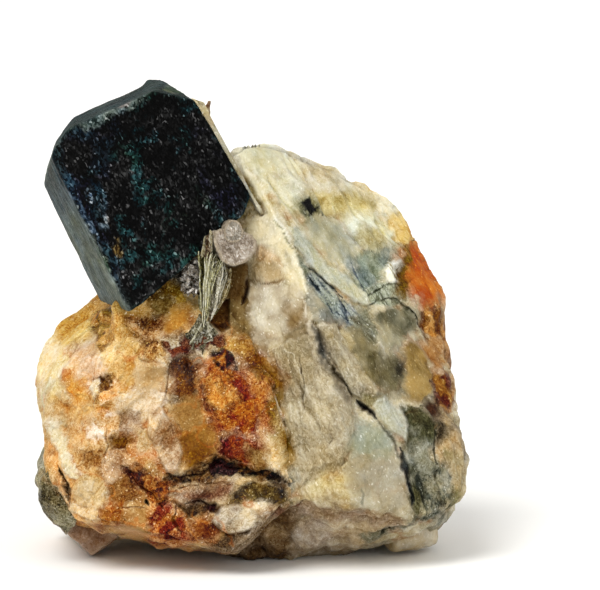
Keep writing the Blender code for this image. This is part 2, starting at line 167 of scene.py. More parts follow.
@dataclass(frozen=True)
class Studio:
    """A plain pale floor, soft light and the camera.

    Attributes:
        floor_size: Side of the floor in metres.
        sky: Strength of the even light from all round.
        lamps: The soft lights.
        exposure: Brightness that a white front face would have.
        veil: Brightness that the gloss of the stone adds.
    """

    floor_size: float = 4.0
    sky: float = 0.6
    lamps: tuple[Lamp, ...] = (Lamp(-34.0, 52.0, 30.0, 2.3), Lamp(36.0, 44.0, 70.0, 0.9))
    exposure: float = 1.15
    veil: float = 0.012

    def floor(self) -> bpy.types.Object:
        """White card floor.

        Returns:
            The new object.
        """
        half = self.floor_size / 2.0
        mesh = bpy.data.meshes.new("floor")
        corners = ((-half, -half, 0.0), (half, -half, 0.0), (half, half, 0.0), (-half, half, 0.0))
        mesh.from_pydata(corners, (), ((0, 1, 2, 3),))
        made = bpy.data.objects.new("floor", mesh)
        bpy.context.scene.collection.objects.link(made)
        card = bpy.data.materials.new("white_card")
        card.use_nodes = True
        shader = card.node_tree.nodes["Principled BSDF"]
        shader.inputs["Base Color"].default_value = (*linear("#f7f6f2"), 1.0)
        shader.inputs["Roughness"].default_value = 0.9
        mesh.materials.append(card)
        made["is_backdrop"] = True
        return made

    def backdrop(self) -> bpy.types.Object:
        """A white dome that only the camera sees, so that the background stays clean.

        Returns:
            The new object.
        """
        bpy.ops.mesh.primitive_uv_sphere_add(segments=48, ring_count=24, radius=self.floor_size)
        dome = bpy.context.object
        dome.name = "backdrop"
        white = bpy.data.materials.new("white_backdrop")
        white.use_nodes = True
        shader = white.node_tree.nodes["Principled BSDF"]
        shader.inputs["Base Color"].default_value = (0.0, 0.0, 0.0, 1.0)
        shader.inputs["Emission Color"].default_value = (1.0, 1.0, 1.0, 1.0)
        shader.inputs["Emission Strength"].default_value = 1.0
        dome.data.materials.append(white)
        dome.visible_diffuse = False
        dome.visible_glossy = False
        dome.visible_transmission = False
        dome.visible_shadow = False
        dome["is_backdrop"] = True
        return dome

    def lights(self) -> None:
        """Even sky, a broad soft light from the upper left and a weaker one from the right."""
        world = bpy.data.worlds.new("studio")
        bpy.context.scene.world = world
        world.use_nodes = True
        sky = world.node_tree.nodes["Background"]
        sky.inputs["Color"].default_value = (1.0, 1.0, 1.0, 1.0)
        sky.inputs["Strength"].default_value = self.sky
        for number, lamp in enumerate(self.lamps):
            sun = bpy.data.lights.new(f"soft_light_{number}", "SUN")
            sun.energy = lamp.strength
            sun.angle = math.radians(lamp.width)
            made = bpy.data.objects.new(sun.name, sun)
            bpy.context.scene.collection.objects.link(made)
            made.rotation_mode = "QUATERNION"
            way = mathutils.Vector(unit(lamp.azimuth, lamp.elevation))
            made.rotation_quaternion = way.to_track_quat("Z", "Y")

    def camera(self) -> None:
        """The photograph's view."""
        data = bpy.data.cameras.new("camera")
        data.lens = VIEW.lens
        data.sensor_width = VIEW.sensor
        data.clip_start = 0.01
        made = bpy.data.objects.new("camera", data)
        bpy.context.scene.collection.objects.link(made)
        made.location = (VIEW.eye + TO_FRAME) * MM
        made.rotation_mode = "QUATERNION"
        made.rotation_quaternion = mathutils.Vector(VIEW.toward).to_track_quat("Z", "Y")
        bpy.context.scene.camera = made

    def build(self) -> None:
        """Set up the studio."""
        self.floor()
        self.backdrop()
        self.lights()
        self.camera()
        bpy.context.scene.view_settings.view_transform = "Standard"


STUDIO = Studio()
# Share of the traced heights that is built, on the crisp forms and on the soft ones
CRISP_LIFT = 0.95
SOFT_LIFT = 0.4
# How far the outlines of the crisp and of the soft areas wander, in mm
CRISP_WANDER = 0.22
SOFT_WANDER = 0.8
# Width of the grains whose edges the colours follow, in mm, and how closely they follow them
GRAIN_WIDTH = 1.1
SNAP = 0.35
# Cells after which the noise repeats, and a shift that keeps its cells countable from the origin
LATTICE_CELLS = 32
LATTICE_SHIFT = 100.0
SCATTER_CELLS = 16
SCATTER_SHIFT = 64.0
# Size and height in mm of the flat facets of a break, and the seed that sets each apart
FACETS = ((3.4, 0.75, 30), (1.7, 0.46, 31), (0.8, 0.16, 32), (0.4, 0.04, 35))
# Size and height in mm of the shells of a break, and their seeds
SHELLS = ((3.2, 1.0, 36), (1.5, 0.40, 37), (0.7, 0.12, 38))
# Usual height of a bowl, as a share of its size
BOWL_LEVEL = 0.35
# How much longer a facet is along the cleavage than across it
FACET_LENGTH = 2.0
# Where the masses lie between the camera and the aim's far side, as shares of its distance
NEAR_SHARE = 0.86
FAR_SHARE = 1.14
# Rounds that close in on a ray's lowest level, on the skin and on the front's outline
LOWEST_ROUNDS = 26
SKIN_ROUNDS = 22
OUTLINE_ROUNDS = 14
# Cosine of the lean from the viewer at which the front ends, and its widest reach in mm
FRONT_EDGE = 0.24
FRONT_REACH = 45.0
# Angles at which the front's outline is found
OUTLINE_COUNT = 240
# How far a mass is sunk below its front sheet, the sheet's rim into the mass, and the sheet's lead, in mm
MASS_SUNK = 1.8
RIM_SUNK = 0.6
SHEET_LEAD = 0.04


class Pattern(Enum):
    """How the shades of an area lie: number of the mottling, and how softly the shades meet."""

    GRAINS = (0, 0.25)
    CLOUDS = (1, 0.7)
    FIBRES = (2, 0.9)
    PLATES = (3, 0.3)


@dataclass(frozen=True)
class Break:
    """How one mineral breaks.

    Attributes:
        facet: Share of the flat-sided relief.
        bowl: Share of the shell-shaped relief.
        streak: Height of the cleavage steps in mm.
        crumb: Height of the fine crumb in mm.
        gloss: 0 for matt, 1 for glassy.
        grit: How strongly the single grains differ, 1 as on plain broken stone.
        pattern: How its shades lie.
    """

    facet: float
    bowl: float
    streak: float
    crumb: float
    gloss: float
    grit: float
    pattern: Pattern

    def row(self) -> np.ndarray:
        """The values as one row."""
        return np.array((self.facet, self.bowl, self.streak, self.crumb, self.gloss, self.grit))


class Grain(Enum):
    """Kinds of broken surface on the specimen."""

    CLEAVED = Break(0.5, 0.0, 0.30, 0.02, 0.35, 0.9, Pattern.CLOUDS)
    SMOOTH = Break(0.2, 0.15, 0.0, 0.01, 0.5, 0.4, Pattern.CLOUDS)
    GLASSY = Break(0.6, 0.6, 0.0, 0.01, 0.9, 0.8, Pattern.CLOUDS)
    CRUMBLED = Break(0.75, 0.7, 0.0, 0.04, 0.6, 1.2, Pattern.GRAINS)
    FIBROUS = Break(0.5, 0.3, 0.2, 0.03, 0.8, 1.1, Pattern.FIBRES)
    PLATY = Break(0.4, 0.0, 0.16, 0.02, 0.7, 1.1, Pattern.PLATES)


@dataclass(frozen=True)
class Patch:
    """One area of the broken front.

    Attributes:
        outline: Corners in the photograph's pixels.
        colour: sRGB hex of the fresh surface.
        lift: Height over the mass in mm, below nothing where it is set back.
        rise: Distance from the outline over which it climbs, in mm.
        lean: Climb per mm to the right and per mm upwards.
        fleck: sRGB hex of the mottling, or nothing.
        share: How much of the area the fleck colour takes.
        contrast: How strongly light and dark vary.
        soft: Width of the colour's edge in mm.
        grain: How the surface breaks.
        crisp: Whether it is a form of its own, with sharp steps and edges.
    """

    outline: Pixels
    colour: str
    lift: float = 0.0
    rise: float = 0.4
    lean: tuple[float, float] = (0.0, 0.0)
    fleck: str = ""
    share: float = 0.35
    contrast: float = 0.16
    soft: float = 0.7
    grain: Grain = Grain.CLEAVED
    crisp: bool = False


@dataclass(frozen=True)
class Crack:
    """A crack, or a raised rim where its depth is below nothing.

    Attributes:
        path: Its course in the photograph's pixels.
        depth: Depth in mm.
        half_width: Half its width in mm.
        colour: sRGB hex of its floor; on the valleys, the groove and the deepest cracks this is painted
            shade, and on the ridges and rims a painted highlight.
        stain: Strength of the colour.
    """

    path: Pixels
    depth: float
    half_width: float
    colour: str
    stain: float = 0.85


@dataclass(frozen=True)
class Stain:
    """A stain that runs round the side.

    Attributes:
        centre: Its middle in mm.
        reach: How far it reaches in mm.
        colour: sRGB hex.
        strength: How much of the stone's own colour it takes.
    """

    centre: Point
    reach: float
    colour: str
    strength: float = 0.85


PATCHES: dict[str, Patch] = {
    "crest cream": Patch(
        ((230, 148), (245, 143), (262, 136), (277, 140), (288, 150), (284, 166), (268, 174), (250, 172),
         (240, 162)),
        "#ded7b5", 0.3, 1.5, fleck="#ede7ca", share=0.3, contrast=0.10, grain=Grain.SMOOTH),
    "crest grey": Patch(
        ((250, 170), (268, 172), (290, 172), (302, 185), (298, 208), (284, 212), (262, 190)),
        "#d7d2b4", 0.1, 1.0, fleck="#c1bc9f", share=0.3, contrast=0.12),
    "crest speckled": Patch(
        ((284, 148), (299, 158), (302, 170), (290, 173), (278, 165)),
        "#ddd4b1", 0.2, fleck="#a5793c", share=0.08),
    "crest tan": Patch(
        ((299, 159), (330, 163), (347, 176), (354, 184), (335, 191), (312, 189), (301, 178)),
        "#d5c9a7", 0.5, 1.0, fleck="#bfb28e", share=0.3),
    "cream slope right": Patch(
        ((340, 214), (372, 212), (394, 222), (402, 245), (384, 254), (356, 246)),
        "#d8d5b7", 0.3, 1.2, fleck="#b4ab86", share=0.3, contrast=0.2),
    "pale right shoulder": Patch(
        ((352, 181), (372, 184), (388, 200), (404, 214), (394, 223), (378, 212), (362, 196)),
        "#eee1b9", 0.4, 1.0, contrast=0.1),
    "olive stain": Patch(
        ((308, 193), (338, 187), (366, 193), (378, 202), (370, 215), (358, 221), (340, 214), (322, 215),
         (312, 206)),
        "#cbb97e", -0.2, 0.8, fleck="#ab9659", share=0.4, soft=1.2),
    "rust fleck": Patch(
        ((315, 198), (326, 196), (327, 208), (317, 211)), "#9c8546", -0.1, soft=0.8),
    "green spot halo": Patch(
        ((292, 200), (306, 199), (318, 208), (320, 219), (308, 226), (294, 216)),
        "#898868", -0.3, 0.5, soft=1.0),
    "green spot": Patch(
        ((298, 204), (306, 203), (313, 210), (316, 218), (309, 221), (301, 215)),
        "#161a06", -0.9, 0.4, soft=0.3, contrast=0.3),
    "grey glass": Patch(
        ((300, 226), (322, 220), (342, 223), (354, 240), (350, 262), (330, 267), (312, 248)),
        "#b8b499", -0.4, 1.4, fleck="#9b9a82", share=0.35, grain=Grain.SMOOTH),
    "blue shadow": Patch(
        ((346, 262), (360, 250), (392, 250), (394, 264), (382, 278), (368, 294), (358, 286)),
        "#889283", -0.7, 0.8, fleck="#6f7a72", contrast=0.12, soft=1.0),
    "blue wash": Patch(
        ((304, 262), (330, 280), (352, 298), (364, 312), (364, 330), (348, 328), (334, 304), (312, 280)),
        "#949a90", -0.5, 0.5, fleck="#666d70", contrast=0.1, grain=Grain.PLATY),
    "grey violet": Patch(
        ((308, 290), (330, 298), (346, 316), (340, 325), (318, 323), (308, 308)),
        "#a09c8a", -0.1, 1.0, fleck="#86867a", contrast=0.08, grain=Grain.SMOOTH),
    "blue streak": Patch(
        ((306, 272), (318, 268), (334, 286), (346, 300), (353, 316), (346, 324), (336, 314), (322, 296),
         (310, 286)),
        "#8f9894", -0.9, 0.4, fleck="#566066", contrast=0.12, grain=Grain.PLATY),
    "blue streak upper": Patch(
        ((294, 246), (302, 250), (313, 266), (306, 273), (297, 262)),
        "#6f7460", -0.6, 0.4, fleck="#60644e", share=0.35),
    "greenish plates": Patch(
        ((352, 318), (370, 304), (378, 330), (374, 346), (354, 345)),
        "#7b7963", -0.5, 0.5, fleck="#6a6652", contrast=0.12, grain=Grain.PLATY),
    "curled plates": Patch(
        ((360, 292), (380, 282), (404, 282), (408, 300), (392, 308), (372, 303)),
        "#93977e", 0.2, 0.4, (0.0, 0.12), fleck="#676950", contrast=0.15, grain=Grain.PLATY, crisp=True),
    "pale strip": Patch(
        ((286, 225), (300, 227), (313, 248), (327, 266), (347, 276), (364, 292), (370, 306), (352, 301),
         (328, 282), (308, 262), (294, 244)),
        "#bbbdaa", 0.6, 0.5, fleck="#999d8e", share=0.3, crisp=True),
    "bright mica": Patch(
        ((384, 270), (390, 261), (401, 261), (406, 272), (399, 281), (389, 283)),
        "#fbf9e4", 0.6, 0.25, (0.1, 0.1), fleck="#9a8a58", share=0.1, grain=Grain.PLATY, crisp=True),
    # Painted shade darkens the hollow nearly to black
    "olive hollow": Patch(
        ((374, 352), (402, 348), (404, 374), (400, 398), (384, 400), (372, 384)),
        "#2f2814", -0.9, 1.2, fleck="#726a4e", contrast=0.05, soft=1.5, grain=Grain.SMOOTH),
    "grey blob": Patch(
        ((376, 314), (386, 305), (398, 303), (414, 307), (423, 319), (420, 332), (404, 341), (390, 346),
         (378, 338)),
        "#868066", 0.7, 2.2, (0.0, 0.05), fleck="#afa686", contrast=0.05, grain=Grain.SMOOTH),
    "brown blob": Patch(
        ((402, 347), (416, 343), (430, 350), (436, 374), (436, 396), (421, 406), (406, 402), (400, 380)),
        "#987d4a", 0.5, 2.2, fleck="#b4965c", contrast=0.05, grain=Grain.SMOOTH),
    "orange edge": Patch(
        ((390, 221), (406, 217), (414, 232), (412, 247), (400, 243)),
        "#e0c37c", 0.1, 0.8, soft=1.2),
    "olive edge": Patch(
        ((401, 246), (413, 246), (414, 280), (404, 302), (394, 290), (400, 270)),
        "#6a5019", -0.7, 0.6, fleck="#5c4719", share=0.35, soft=0.8),
    "orange rim": Patch(
        ((413, 240), (424, 250), (436, 275), (440, 302), (424, 307), (411, 293), (410, 268)),
        "#c06c1c", 0.3, 0.8, fleck="#dc8f3a", contrast=0.08, grain=Grain.SMOOTH),
    "rust rim upper": Patch(
        ((420, 306), (440, 302), (444, 330), (430, 338), (420, 322)),
        "#a3723a", 0.1, 0.6, fleck="#683e0f", share=0.35, grain=Grain.CRUMBLED),
    "pink rim": Patch(
        ((430, 336), (444, 336), (448, 366), (436, 364), (431, 350)), "#a77c4d", 0.1),
    "rust rim lower": Patch(
        ((434, 364), (450, 366), (460, 400), (456, 418), (440, 406), (433, 384)),
        "#815326", 0.0, 0.6, fleck="#582803", share=0.35, grain=Grain.CRUMBLED),
    "grey slab": Patch(
        ((406, 410), (428, 410), (444, 440), (442, 470), (432, 500), (420, 518), (409, 500), (405, 460),
         (403, 430)),
        "#696753", -0.8, 0.6, fleck="#9b9883", share=0.25, contrast=0.25),
    "slab tan": Patch(
        ((440, 420), (456, 414), (466, 440), (464, 472), (444, 472), (435, 450)),
        "#7f6a48", -0.1, 1.0, fleck="#c9b088", share=0.3),
    "slab blue": Patch(
        ((426, 478), (446, 478), (450, 514), (436, 526), (424, 518)),
        "#8c8c80", -0.3, 0.6, fleck="#595a4c", share=0.35, contrast=0.3),
    "slab amber edge": Patch(
        ((450, 452), (466, 456), (468, 490), (462, 516), (448, 520), (448, 490)),
        "#ab9a74", 0.1, 1.0, fleck="#847e5a", share=0.3, soft=1.0),
    "slab pale lens": Patch(
        ((420, 448), (430, 446), (435, 470), (428, 482), (419, 470)),
        "#8a8873", 0.3, 0.5),
    "rim dark": Patch(
        ((428, 400), (446, 404), (452, 420), (438, 426), (428, 414)), "#402a00", -0.3, soft=0.8),
    "sheet triangle": Patch(
        ((240, 168), (257, 196), (270, 213), (250, 222), (240, 222), (240, 200)),
        "#a59874", -0.3, 0.4, fleck="#c7b897", share=0.3, contrast=0.3, grain=Grain.CRUMBLED),
    "ridge strip": Patch(
        ((236, 158), (250, 172), (264, 192), (277, 214), (291, 243), (302, 270), (308, 294), (300, 290),
         (290, 262), (277, 234), (262, 204), (248, 182)),
        "#dcd2ae", 0.25, 0.8, grain=Grain.SMOOTH, crisp=True),
    "cream facet": Patch(
        ((245, 235), (252, 219), (268, 212), (284, 240), (298, 270), (305, 294), (286, 285), (284, 262),
         (262, 248)),
        "#e4d7b2", 0.2, 1.2, contrast=0.1, grain=Grain.SMOOTH),
    "orange seam": Patch(
        ((252, 264), (260, 246), (272, 250), (285, 262), (268, 269)),
        "#cfb083", -0.1, 0.5, fleck="#97723f", share=0.3, soft=0.7),
    "tan facet": Patch(
        ((253, 266), (284, 263), (285, 280), (268, 283), (254, 281)),
        "#b09971", 0.4, 0.5, (0.0, -0.08), fleck="#8b724d", share=0.2, contrast=0.08, grain=Grain.SMOOTH),
    "shaded recess": Patch(
        ((222, 268), (246, 264), (254, 284), (262, 318), (264, 342), (244, 342), (228, 330), (210, 328),
         (214, 306)),
        "#6f5935", -1.2, 0.8, fleck="#8f784d", share=0.3, soft=1.2, grain=Grain.SMOOTH),
    # Painted shade on the concave plate beside the fan
    "shaded tan plate": Patch(
        ((226, 268), (246, 265), (246, 282), (238, 302), (225, 302)),
        "#6d5230", -0.8, 0.4, contrast=0.12, grain=Grain.SMOOTH),
    # Painted shade in the gap beside the fan
    "shadowed recess": Patch(
        ((208, 322), (216, 302), (230, 300), (230, 326), (221, 334)),
        "#4b321c", -1.2, 0.6, contrast=0.2, grain=Grain.SMOOTH, crisp=True),
    "upper facet": Patch(
        ((247, 292), (262, 285), (298, 284), (306, 300), (309, 317), (300, 324), (284, 333), (264, 335),
         (252, 318)),
        "#ab9a7c", 0.8, 3.0, (0.0, 0.03), fleck="#dbd0b4", contrast=0.06, grain=Grain.SMOOTH, soft=0.5),
    "knob": Patch(
        ((257, 331), (270, 336), (284, 334), (283, 345), (266, 351), (256, 344)),
        "#b3a489", 0.5, 0.8, (0.0, 0.05), contrast=0.06, grain=Grain.SMOOTH),
    "step facet": Patch(
        ((284, 332), (300, 325), (312, 320), (319, 335), (300, 342), (285, 344)),
        "#9a8969", 0.0, 0.4, (0.0, -0.10), contrast=0.06, grain=Grain.SMOOTH),
    "main slab": Patch(
        ((267, 352), (282, 345), (290, 338), (296, 341), (303, 334), (312, 334), (318, 335), (326, 350),
         (333, 362), (348, 390), (358, 416), (352, 446), (338, 470), (312, 482), (296, 466), (284, 440),
         (278, 400)),
        "#b0a283", 0.7, 0.5, (0.01, 0.01), fleck="#c7bb9e", contrast=0.08, crisp=True),
    "slab left": Patch(
        ((266, 353), (280, 346), (287, 356), (298, 372), (301, 388), (305, 412), (296, 432), (284, 410),
         (276, 378)),
        "#a99a7b", 0.6, 0.5, (0.04, 0.0), fleck="#c2b698", contrast=0.08, crisp=True),
    "slab low": Patch(
        ((300, 436), (316, 444), (330, 450), (341, 466), (320, 486), (302, 482), (290, 462)),
        "#af9f7d", 0.5, 0.6, (0.0, 0.06), contrast=0.08),
    "tab": Patch(
        ((305, 323), (311, 320), (317, 330), (318, 338), (310, 336)),
        "#c0b39a", 1.1, 0.25, contrast=0.05, grain=Grain.SMOOTH, crisp=True),
    "rib shade": Patch(
        ((340, 322), (358, 328), (376, 350), (379, 388), (364, 372), (348, 346)),
        "#857d62", -0.3, 0.6, fleck="#5f583c", grain=Grain.SMOOTH),
    "rib": Patch(
        ((316, 326), (322, 322), (330, 325), (338, 322), (347, 344), (357, 360), (366, 376), (378, 392),
         (370, 402), (352, 394), (340, 374), (328, 350)),
        "#a99d82", 0.9, 0.5, (-0.04, 0.0), fleck="#bfb498", contrast=0.08, crisp=True),
    # Painted shade on the groove's flank, under the rib
    "shaded groove flank": Patch(
        ((316, 332), (324, 345), (333, 358), (345, 378), (358, 398), (354, 402), (342, 388), (328, 366),
         (318, 347)),
        "#7f7460", -0.5, 0.5, contrast=0.05, grain=Grain.SMOOTH),
    "white lens": Patch(
        ((371, 402), (384, 397), (400, 408), (408, 424), (406, 442), (392, 431), (380, 417)),
        "#bcbaa4", 0.6, 0.9, fleck="#aaa792", share=0.2, contrast=0.12, crisp=True),
    "brown seam": Patch(
        ((364, 394), (377, 395), (372, 409), (361, 405)), "#938965", 0.0, soft=0.5),
    "blue facet": Patch(
        ((356, 416), (372, 419), (390, 440), (400, 458), (372, 464), (350, 458), (352, 436)),
        "#9fa28e", 0.0, 0.8, fleck="#8f9280", share=0.3, contrast=0.1, soft=1.0, grain=Grain.SMOOTH),
    "pale facet": Patch(
        ((350, 456), (398, 456), (408, 480), (411, 502), (390, 512), (350, 508), (342, 482)),
        "#b7ac8f", 0.2, 0.8, fleck="#d2c8a9", share=0.3, contrast=0.12, soft=1.0, grain=Grain.SMOOTH),
    "cream foot": Patch(
        ((298, 484), (344, 470), (352, 508), (320, 504), (292, 499)),
        "#c1af87", 0.4, 0.6, fleck="#d4c79e", share=0.35),
    "underside lip": Patch(
        ((292, 503), (340, 507), (406, 515), (402, 523), (340, 521), (298, 515)),
        "#957f66", 0.3, 0.4, soft=0.7),
    "underside": Patch(
        ((236, 541), (262, 512), (300, 517), (402, 524), (380, 546), (340, 560), (290, 556), (258, 546)),
        "#b3a187", 0.0, 0.8, fleck="#c6b597", share=0.35, contrast=0.12),
    "underside dark": Patch(
        ((358, 531), (392, 527), (390, 541), (366, 546)), "#77745f", -0.3, soft=1.0),
    "underside left": Patch(
        ((200, 548), (222, 538), (240, 535), (256, 528), (268, 512), (282, 502), (296, 506), (300, 522),
         (280, 566), (200, 566)),
        "#6a553c", 0.0, 0.8, fleck="#8a7356", share=0.35, contrast=0.15),
    "corner plates": Patch(
        ((422, 480), (444, 468), (454, 480), (456, 506), (440, 528), (424, 522)),
        "#7b7864", -0.2, 0.5, fleck="#4f5145", share=0.35, contrast=0.25, grain=Grain.PLATY),
    "cream shoulder": Patch(
        ((36, 360), (46, 338), (64, 330), (73, 350), (69, 380), (50, 386), (36, 384)),
        "#f1d7a0", 0.4, 1.0, fleck="#fbe8c2", share=0.3, contrast=0.1),
    "beige flank": Patch(
        ((36, 386), (50, 384), (68, 382), (74, 404), (90, 412), (86, 430), (60, 432), (40, 420)),
        "#dfcb9b", 0.2, 0.8, fleck="#cda873", share=0.3),
    "yellow crown": Patch(
        ((56, 328), (76, 312), (92, 301), (97, 322), (85, 341), (65, 346)),
        "#d3a859", 0.3, 0.8, fleck="#f1ce7d", share=0.3, contrast=0.2),
    "amber crown": Patch(
        ((90, 300), (104, 300), (124, 316), (130, 342), (112, 351), (96, 347), (86, 330)),
        "#b98a44", 0.2, 0.6, fleck="#886021", share=0.35, contrast=0.25, grain=Grain.CRUMBLED),
    "pink field": Patch(
        ((71, 348), (100, 349), (108, 372), (93, 386), (72, 374)),
        "#eac59a", 0.4, 0.6, fleck="#fcd9ab", share=0.3),
    "upper beige": Patch(
        ((102, 350), (124, 341), (142, 351), (142, 366), (108, 368)),
        "#d8af6b", 0.4, 0.5, fleck="#f4ce8a", share=0.25, contrast=0.2),
    "yellow field": Patch(
        ((104, 362), (130, 360), (135, 372), (127, 392), (108, 398), (102, 376)),
        "#dbb371", 0.2, 0.5, fleck="#c08d45", share=0.3, contrast=0.2),
    "ochre field": Patch(
        ((58, 430), (88, 412), (110, 402), (110, 432), (96, 447), (73, 452)),
        "#d9ae75", 0.2, 0.6, fleck="#bd8d52", share=0.35, contrast=0.2),
    "orange seam left": Patch(
        ((62, 404), (106, 402), (104, 414), (72, 421)),
        "#dbaf6f", -0.2, 0.4, fleck="#c58a3f", share=0.4, soft=0.8),
    "orange spots": Patch(
        ((69, 370), (86, 374), (90, 394), (80, 404), (69, 390)),
        "#d08c3c", 0.0, 0.5, fleck="#b8641c", share=0.4, soft=0.8),
    "broken spot": Patch(
        ((84, 379), (107, 375), (120, 386), (105, 402), (90, 399)),
        "#cfa878", -0.4, 0.4, fleck="#8d622d", share=0.4, contrast=0.4, grain=Grain.CRUMBLED),
    "pale low field": Patch(
        ((72, 452), (96, 446), (106, 462), (100, 486), (84, 476)),
        "#c3975d", 0.1, 0.6, fleck="#8a5924", share=0.3, contrast=0.25),
    "orange left rim": Patch(
        ((38, 440), (52, 444), (63, 466), (67, 488), (54, 480), (42, 462)),
        "#cf9f67", -0.3, 0.6, fleck="#8c5929", share=0.35),
    "white strip": Patch(
        ((42, 422), (54, 422), (65, 442), (75, 460), (82, 478), (66, 476), (54, 454)),
        "#e6d8b5", 1.2, 0.5, contrast=0.08, soft=0.5),
    "beige quad": Patch(
        ((130, 361), (152, 363), (169, 369), (169, 391), (131, 391)),
        "#bc9b6c", 0.2, 0.4, fleck="#d8b888", share=0.3, contrast=0.16, grain=Grain.SMOOTH),
    "grey quad": Patch(
        ((112, 395), (130, 388), (151, 389), (168, 398), (152, 412), (139, 421), (118, 428), (109, 411)),
        "#c4ab8c", 0.6, 0.4, fleck="#e9cfa7", share=0.3, contrast=0.16, soft=0.4),
    "grey hollow": Patch(
        ((113, 411), (142, 408), (140, 425), (124, 434), (111, 429)),
        "#a4876a", -0.3, 0.7, fleck="#927350", share=0.35, contrast=0.2),
    "pink translucent": Patch(
        ((131, 424), (150, 423), (158, 452), (152, 462), (134, 454)),
        "#d2ac7e", 0.1, 0.5, fleck="#e0a06c", share=0.25, contrast=0.2),
    "grey low": Patch(
        ((96, 457), (118, 445), (134, 462), (131, 485), (112, 500), (98, 480)),
        "#a98054", 0.6, 1.0, fleck="#d2ad81", share=0.35, contrast=0.22, grain=Grain.GLASSY),
    "tan low": Patch(
        ((102, 480), (131, 478), (138, 500), (116, 510), (100, 500)),
        "#8c6032", 0.4, 0.6, contrast=0.15, grain=Grain.GLASSY),
    "brown pit": Patch(
        ((109, 436), (122, 429), (131, 438), (123, 451), (110, 449)),
        "#6e441c", -1.6, 0.8, fleck="#5c320b", share=0.4, soft=0.4, contrast=0.3),
    "brown pit left": Patch(
        ((83, 452), (99, 451), (97, 465), (85, 467)), "#996936", -0.6, 0.4, contrast=0.25),
    "olive quad": Patch(
        ((169, 356), (180, 351), (197, 356), (205, 366), (206, 386), (199, 403), (184, 406), (171, 398),
         (166, 376)),
        "#452800", -0.5, 0.6, fleck="#643a00", contrast=0.14, soft=1.0, grain=Grain.GLASSY),
    "olive glass": Patch(
        ((174, 425), (206, 413), (218, 424), (220, 453), (207, 463), (187, 472), (177, 450)),
        "#93671a", 0.1, 0.5, fleck="#a97c3e", share=0.4, contrast=0.12, grain=Grain.SMOOTH),
    "grey quartz": Patch(
        ((171, 404), (186, 396), (200, 396), (207, 412), (196, 426), (178, 426)),
        "#a07741", 0.3, 1.0, contrast=0.1, grain=Grain.SMOOTH),
    "orange edge mid": Patch(
        ((159, 403), (172, 410), (180, 432), (170, 428)), "#b48a59", 0.1, contrast=0.2),
    "bright facet": Patch(
        ((149, 407), (160, 405), (173, 428), (182, 452), (178, 471), (166, 472), (156, 453), (147, 430)),
        "#b89768", 0.6, 0.6, (-0.04, 0.04), fleck="#ecd0a8", share=0.35, contrast=0.12, crisp=True),
    "tan bench": Patch(
        ((147, 478), (171, 477), (174, 493), (157, 498)), "#653003", -0.4, 0.4, contrast=0.25),
    "rust vein": Patch(
        ((118, 465), (137, 467), (156, 480), (172, 500), (178, 517), (160, 512), (141, 495), (126, 483)),
        "#73380a", -0.5, 0.4, fleck="#a7723a", share=0.3, contrast=0.3, grain=Grain.CRUMBLED),
    "ochre shoulder": Patch(
        ((224, 336), (250, 338), (268, 353), (279, 374), (264, 380), (246, 367), (229, 355)),
        "#976c14", 0.5, 0.8, fleck="#c4984a", contrast=0.12, soft=1.0, grain=Grain.GLASSY),
    "olive fringe": Patch(
        ((249, 365), (278, 374), (283, 393), (270, 394), (255, 381)),
        "#937030", -0.1, 0.5, fleck="#aa8d4e", share=0.35),
    "yellow fringe": Patch(
        ((264, 396), (280, 392), (289, 430), (298, 464), (286, 474), (272, 440)),
        "#a08138", 0.2, 0.6, fleck="#c4a66d", contrast=0.1, soft=1.4, grain=Grain.GLASSY),
    "orange tail": Patch(
        ((243, 372), (263, 381), (273, 410), (275, 432), (262, 422), (253, 398)),
        "#a8641c", 0.1, 0.8, fleck="#ca9149", contrast=0.12, soft=1.2, grain=Grain.FIBROUS),
    "orange band": Patch(
        ((203, 366), (228, 362), (245, 373), (260, 396), (268, 424), (264, 442), (240, 434), (216, 430),
         (204, 400)),
        "#963a00", 0.4, 0.8, fleck="#bf7426", contrast=0.12, soft=1.0, grain=Grain.FIBROUS),
    "orange band light": Patch(
        ((202, 383), (214, 379), (229, 380), (241, 398), (224, 413), (206, 409)),
        "#984600", 0.6, 0.8, fleck="#d99b4c", contrast=0.12, soft=1.0, grain=Grain.FIBROUS),
    "red zone": Patch(
        ((218, 436), (244, 431), (266, 446), (264, 464), (240, 472), (219, 462)),
        "#6c1600", 0.0, 0.8, fleck="#8a3c08", contrast=0.12, soft=0.7, grain=Grain.FIBROUS),
    "dark red top": Patch(
        ((206, 352), (216, 346), (228, 350), (238, 366), (228, 378), (215, 372)),
        "#340a00", -0.4, 0.8, fleck="#541e00", contrast=0.12, soft=0.4, grain=Grain.FIBROUS),
    "brown patch low": Patch(
        ((248, 447), (267, 450), (272, 476), (256, 470)), "#a27c47", -0.3, 0.4, contrast=0.25),
    # Painted shade: the inside of the long crack is darkened nearly to black
    "long crack": Patch(
        ((163, 470), (180, 473), (196, 466), (207, 462), (215, 455), (226, 460), (238, 462), (250, 467),
         (262, 469), (277, 473), (291, 481), (276, 484), (262, 481), (249, 477), (236, 479), (220, 479),
         (206, 484), (190, 481), (176, 484), (167, 478)),
        "#3a1404", -2.4, 0.5, fleck="#75522e", share=0.25, contrast=0.4, grain=Grain.CRUMBLED, soft=0.4),
    "pink ledge": Patch(
        ((174, 489), (184, 484), (236, 480), (230, 496), (204, 501), (184, 501)),
        "#80603e", 0.7, 0.3, (0.0, -0.1), fleck="#a88962", share=0.35, contrast=0.2),
    "olive ledge": Patch(
        ((230, 493), (250, 481), (286, 483), (287, 501), (256, 508), (224, 505)),
        "#583f02", 0.3, 0.4, fleck="#7e612f", share=0.35, contrast=0.25, grain=Grain.GLASSY),
    # Painted shade in the low recess
    "low recess": Patch(
        ((177, 502), (200, 497), (224, 504), (216, 513), (188, 513)),
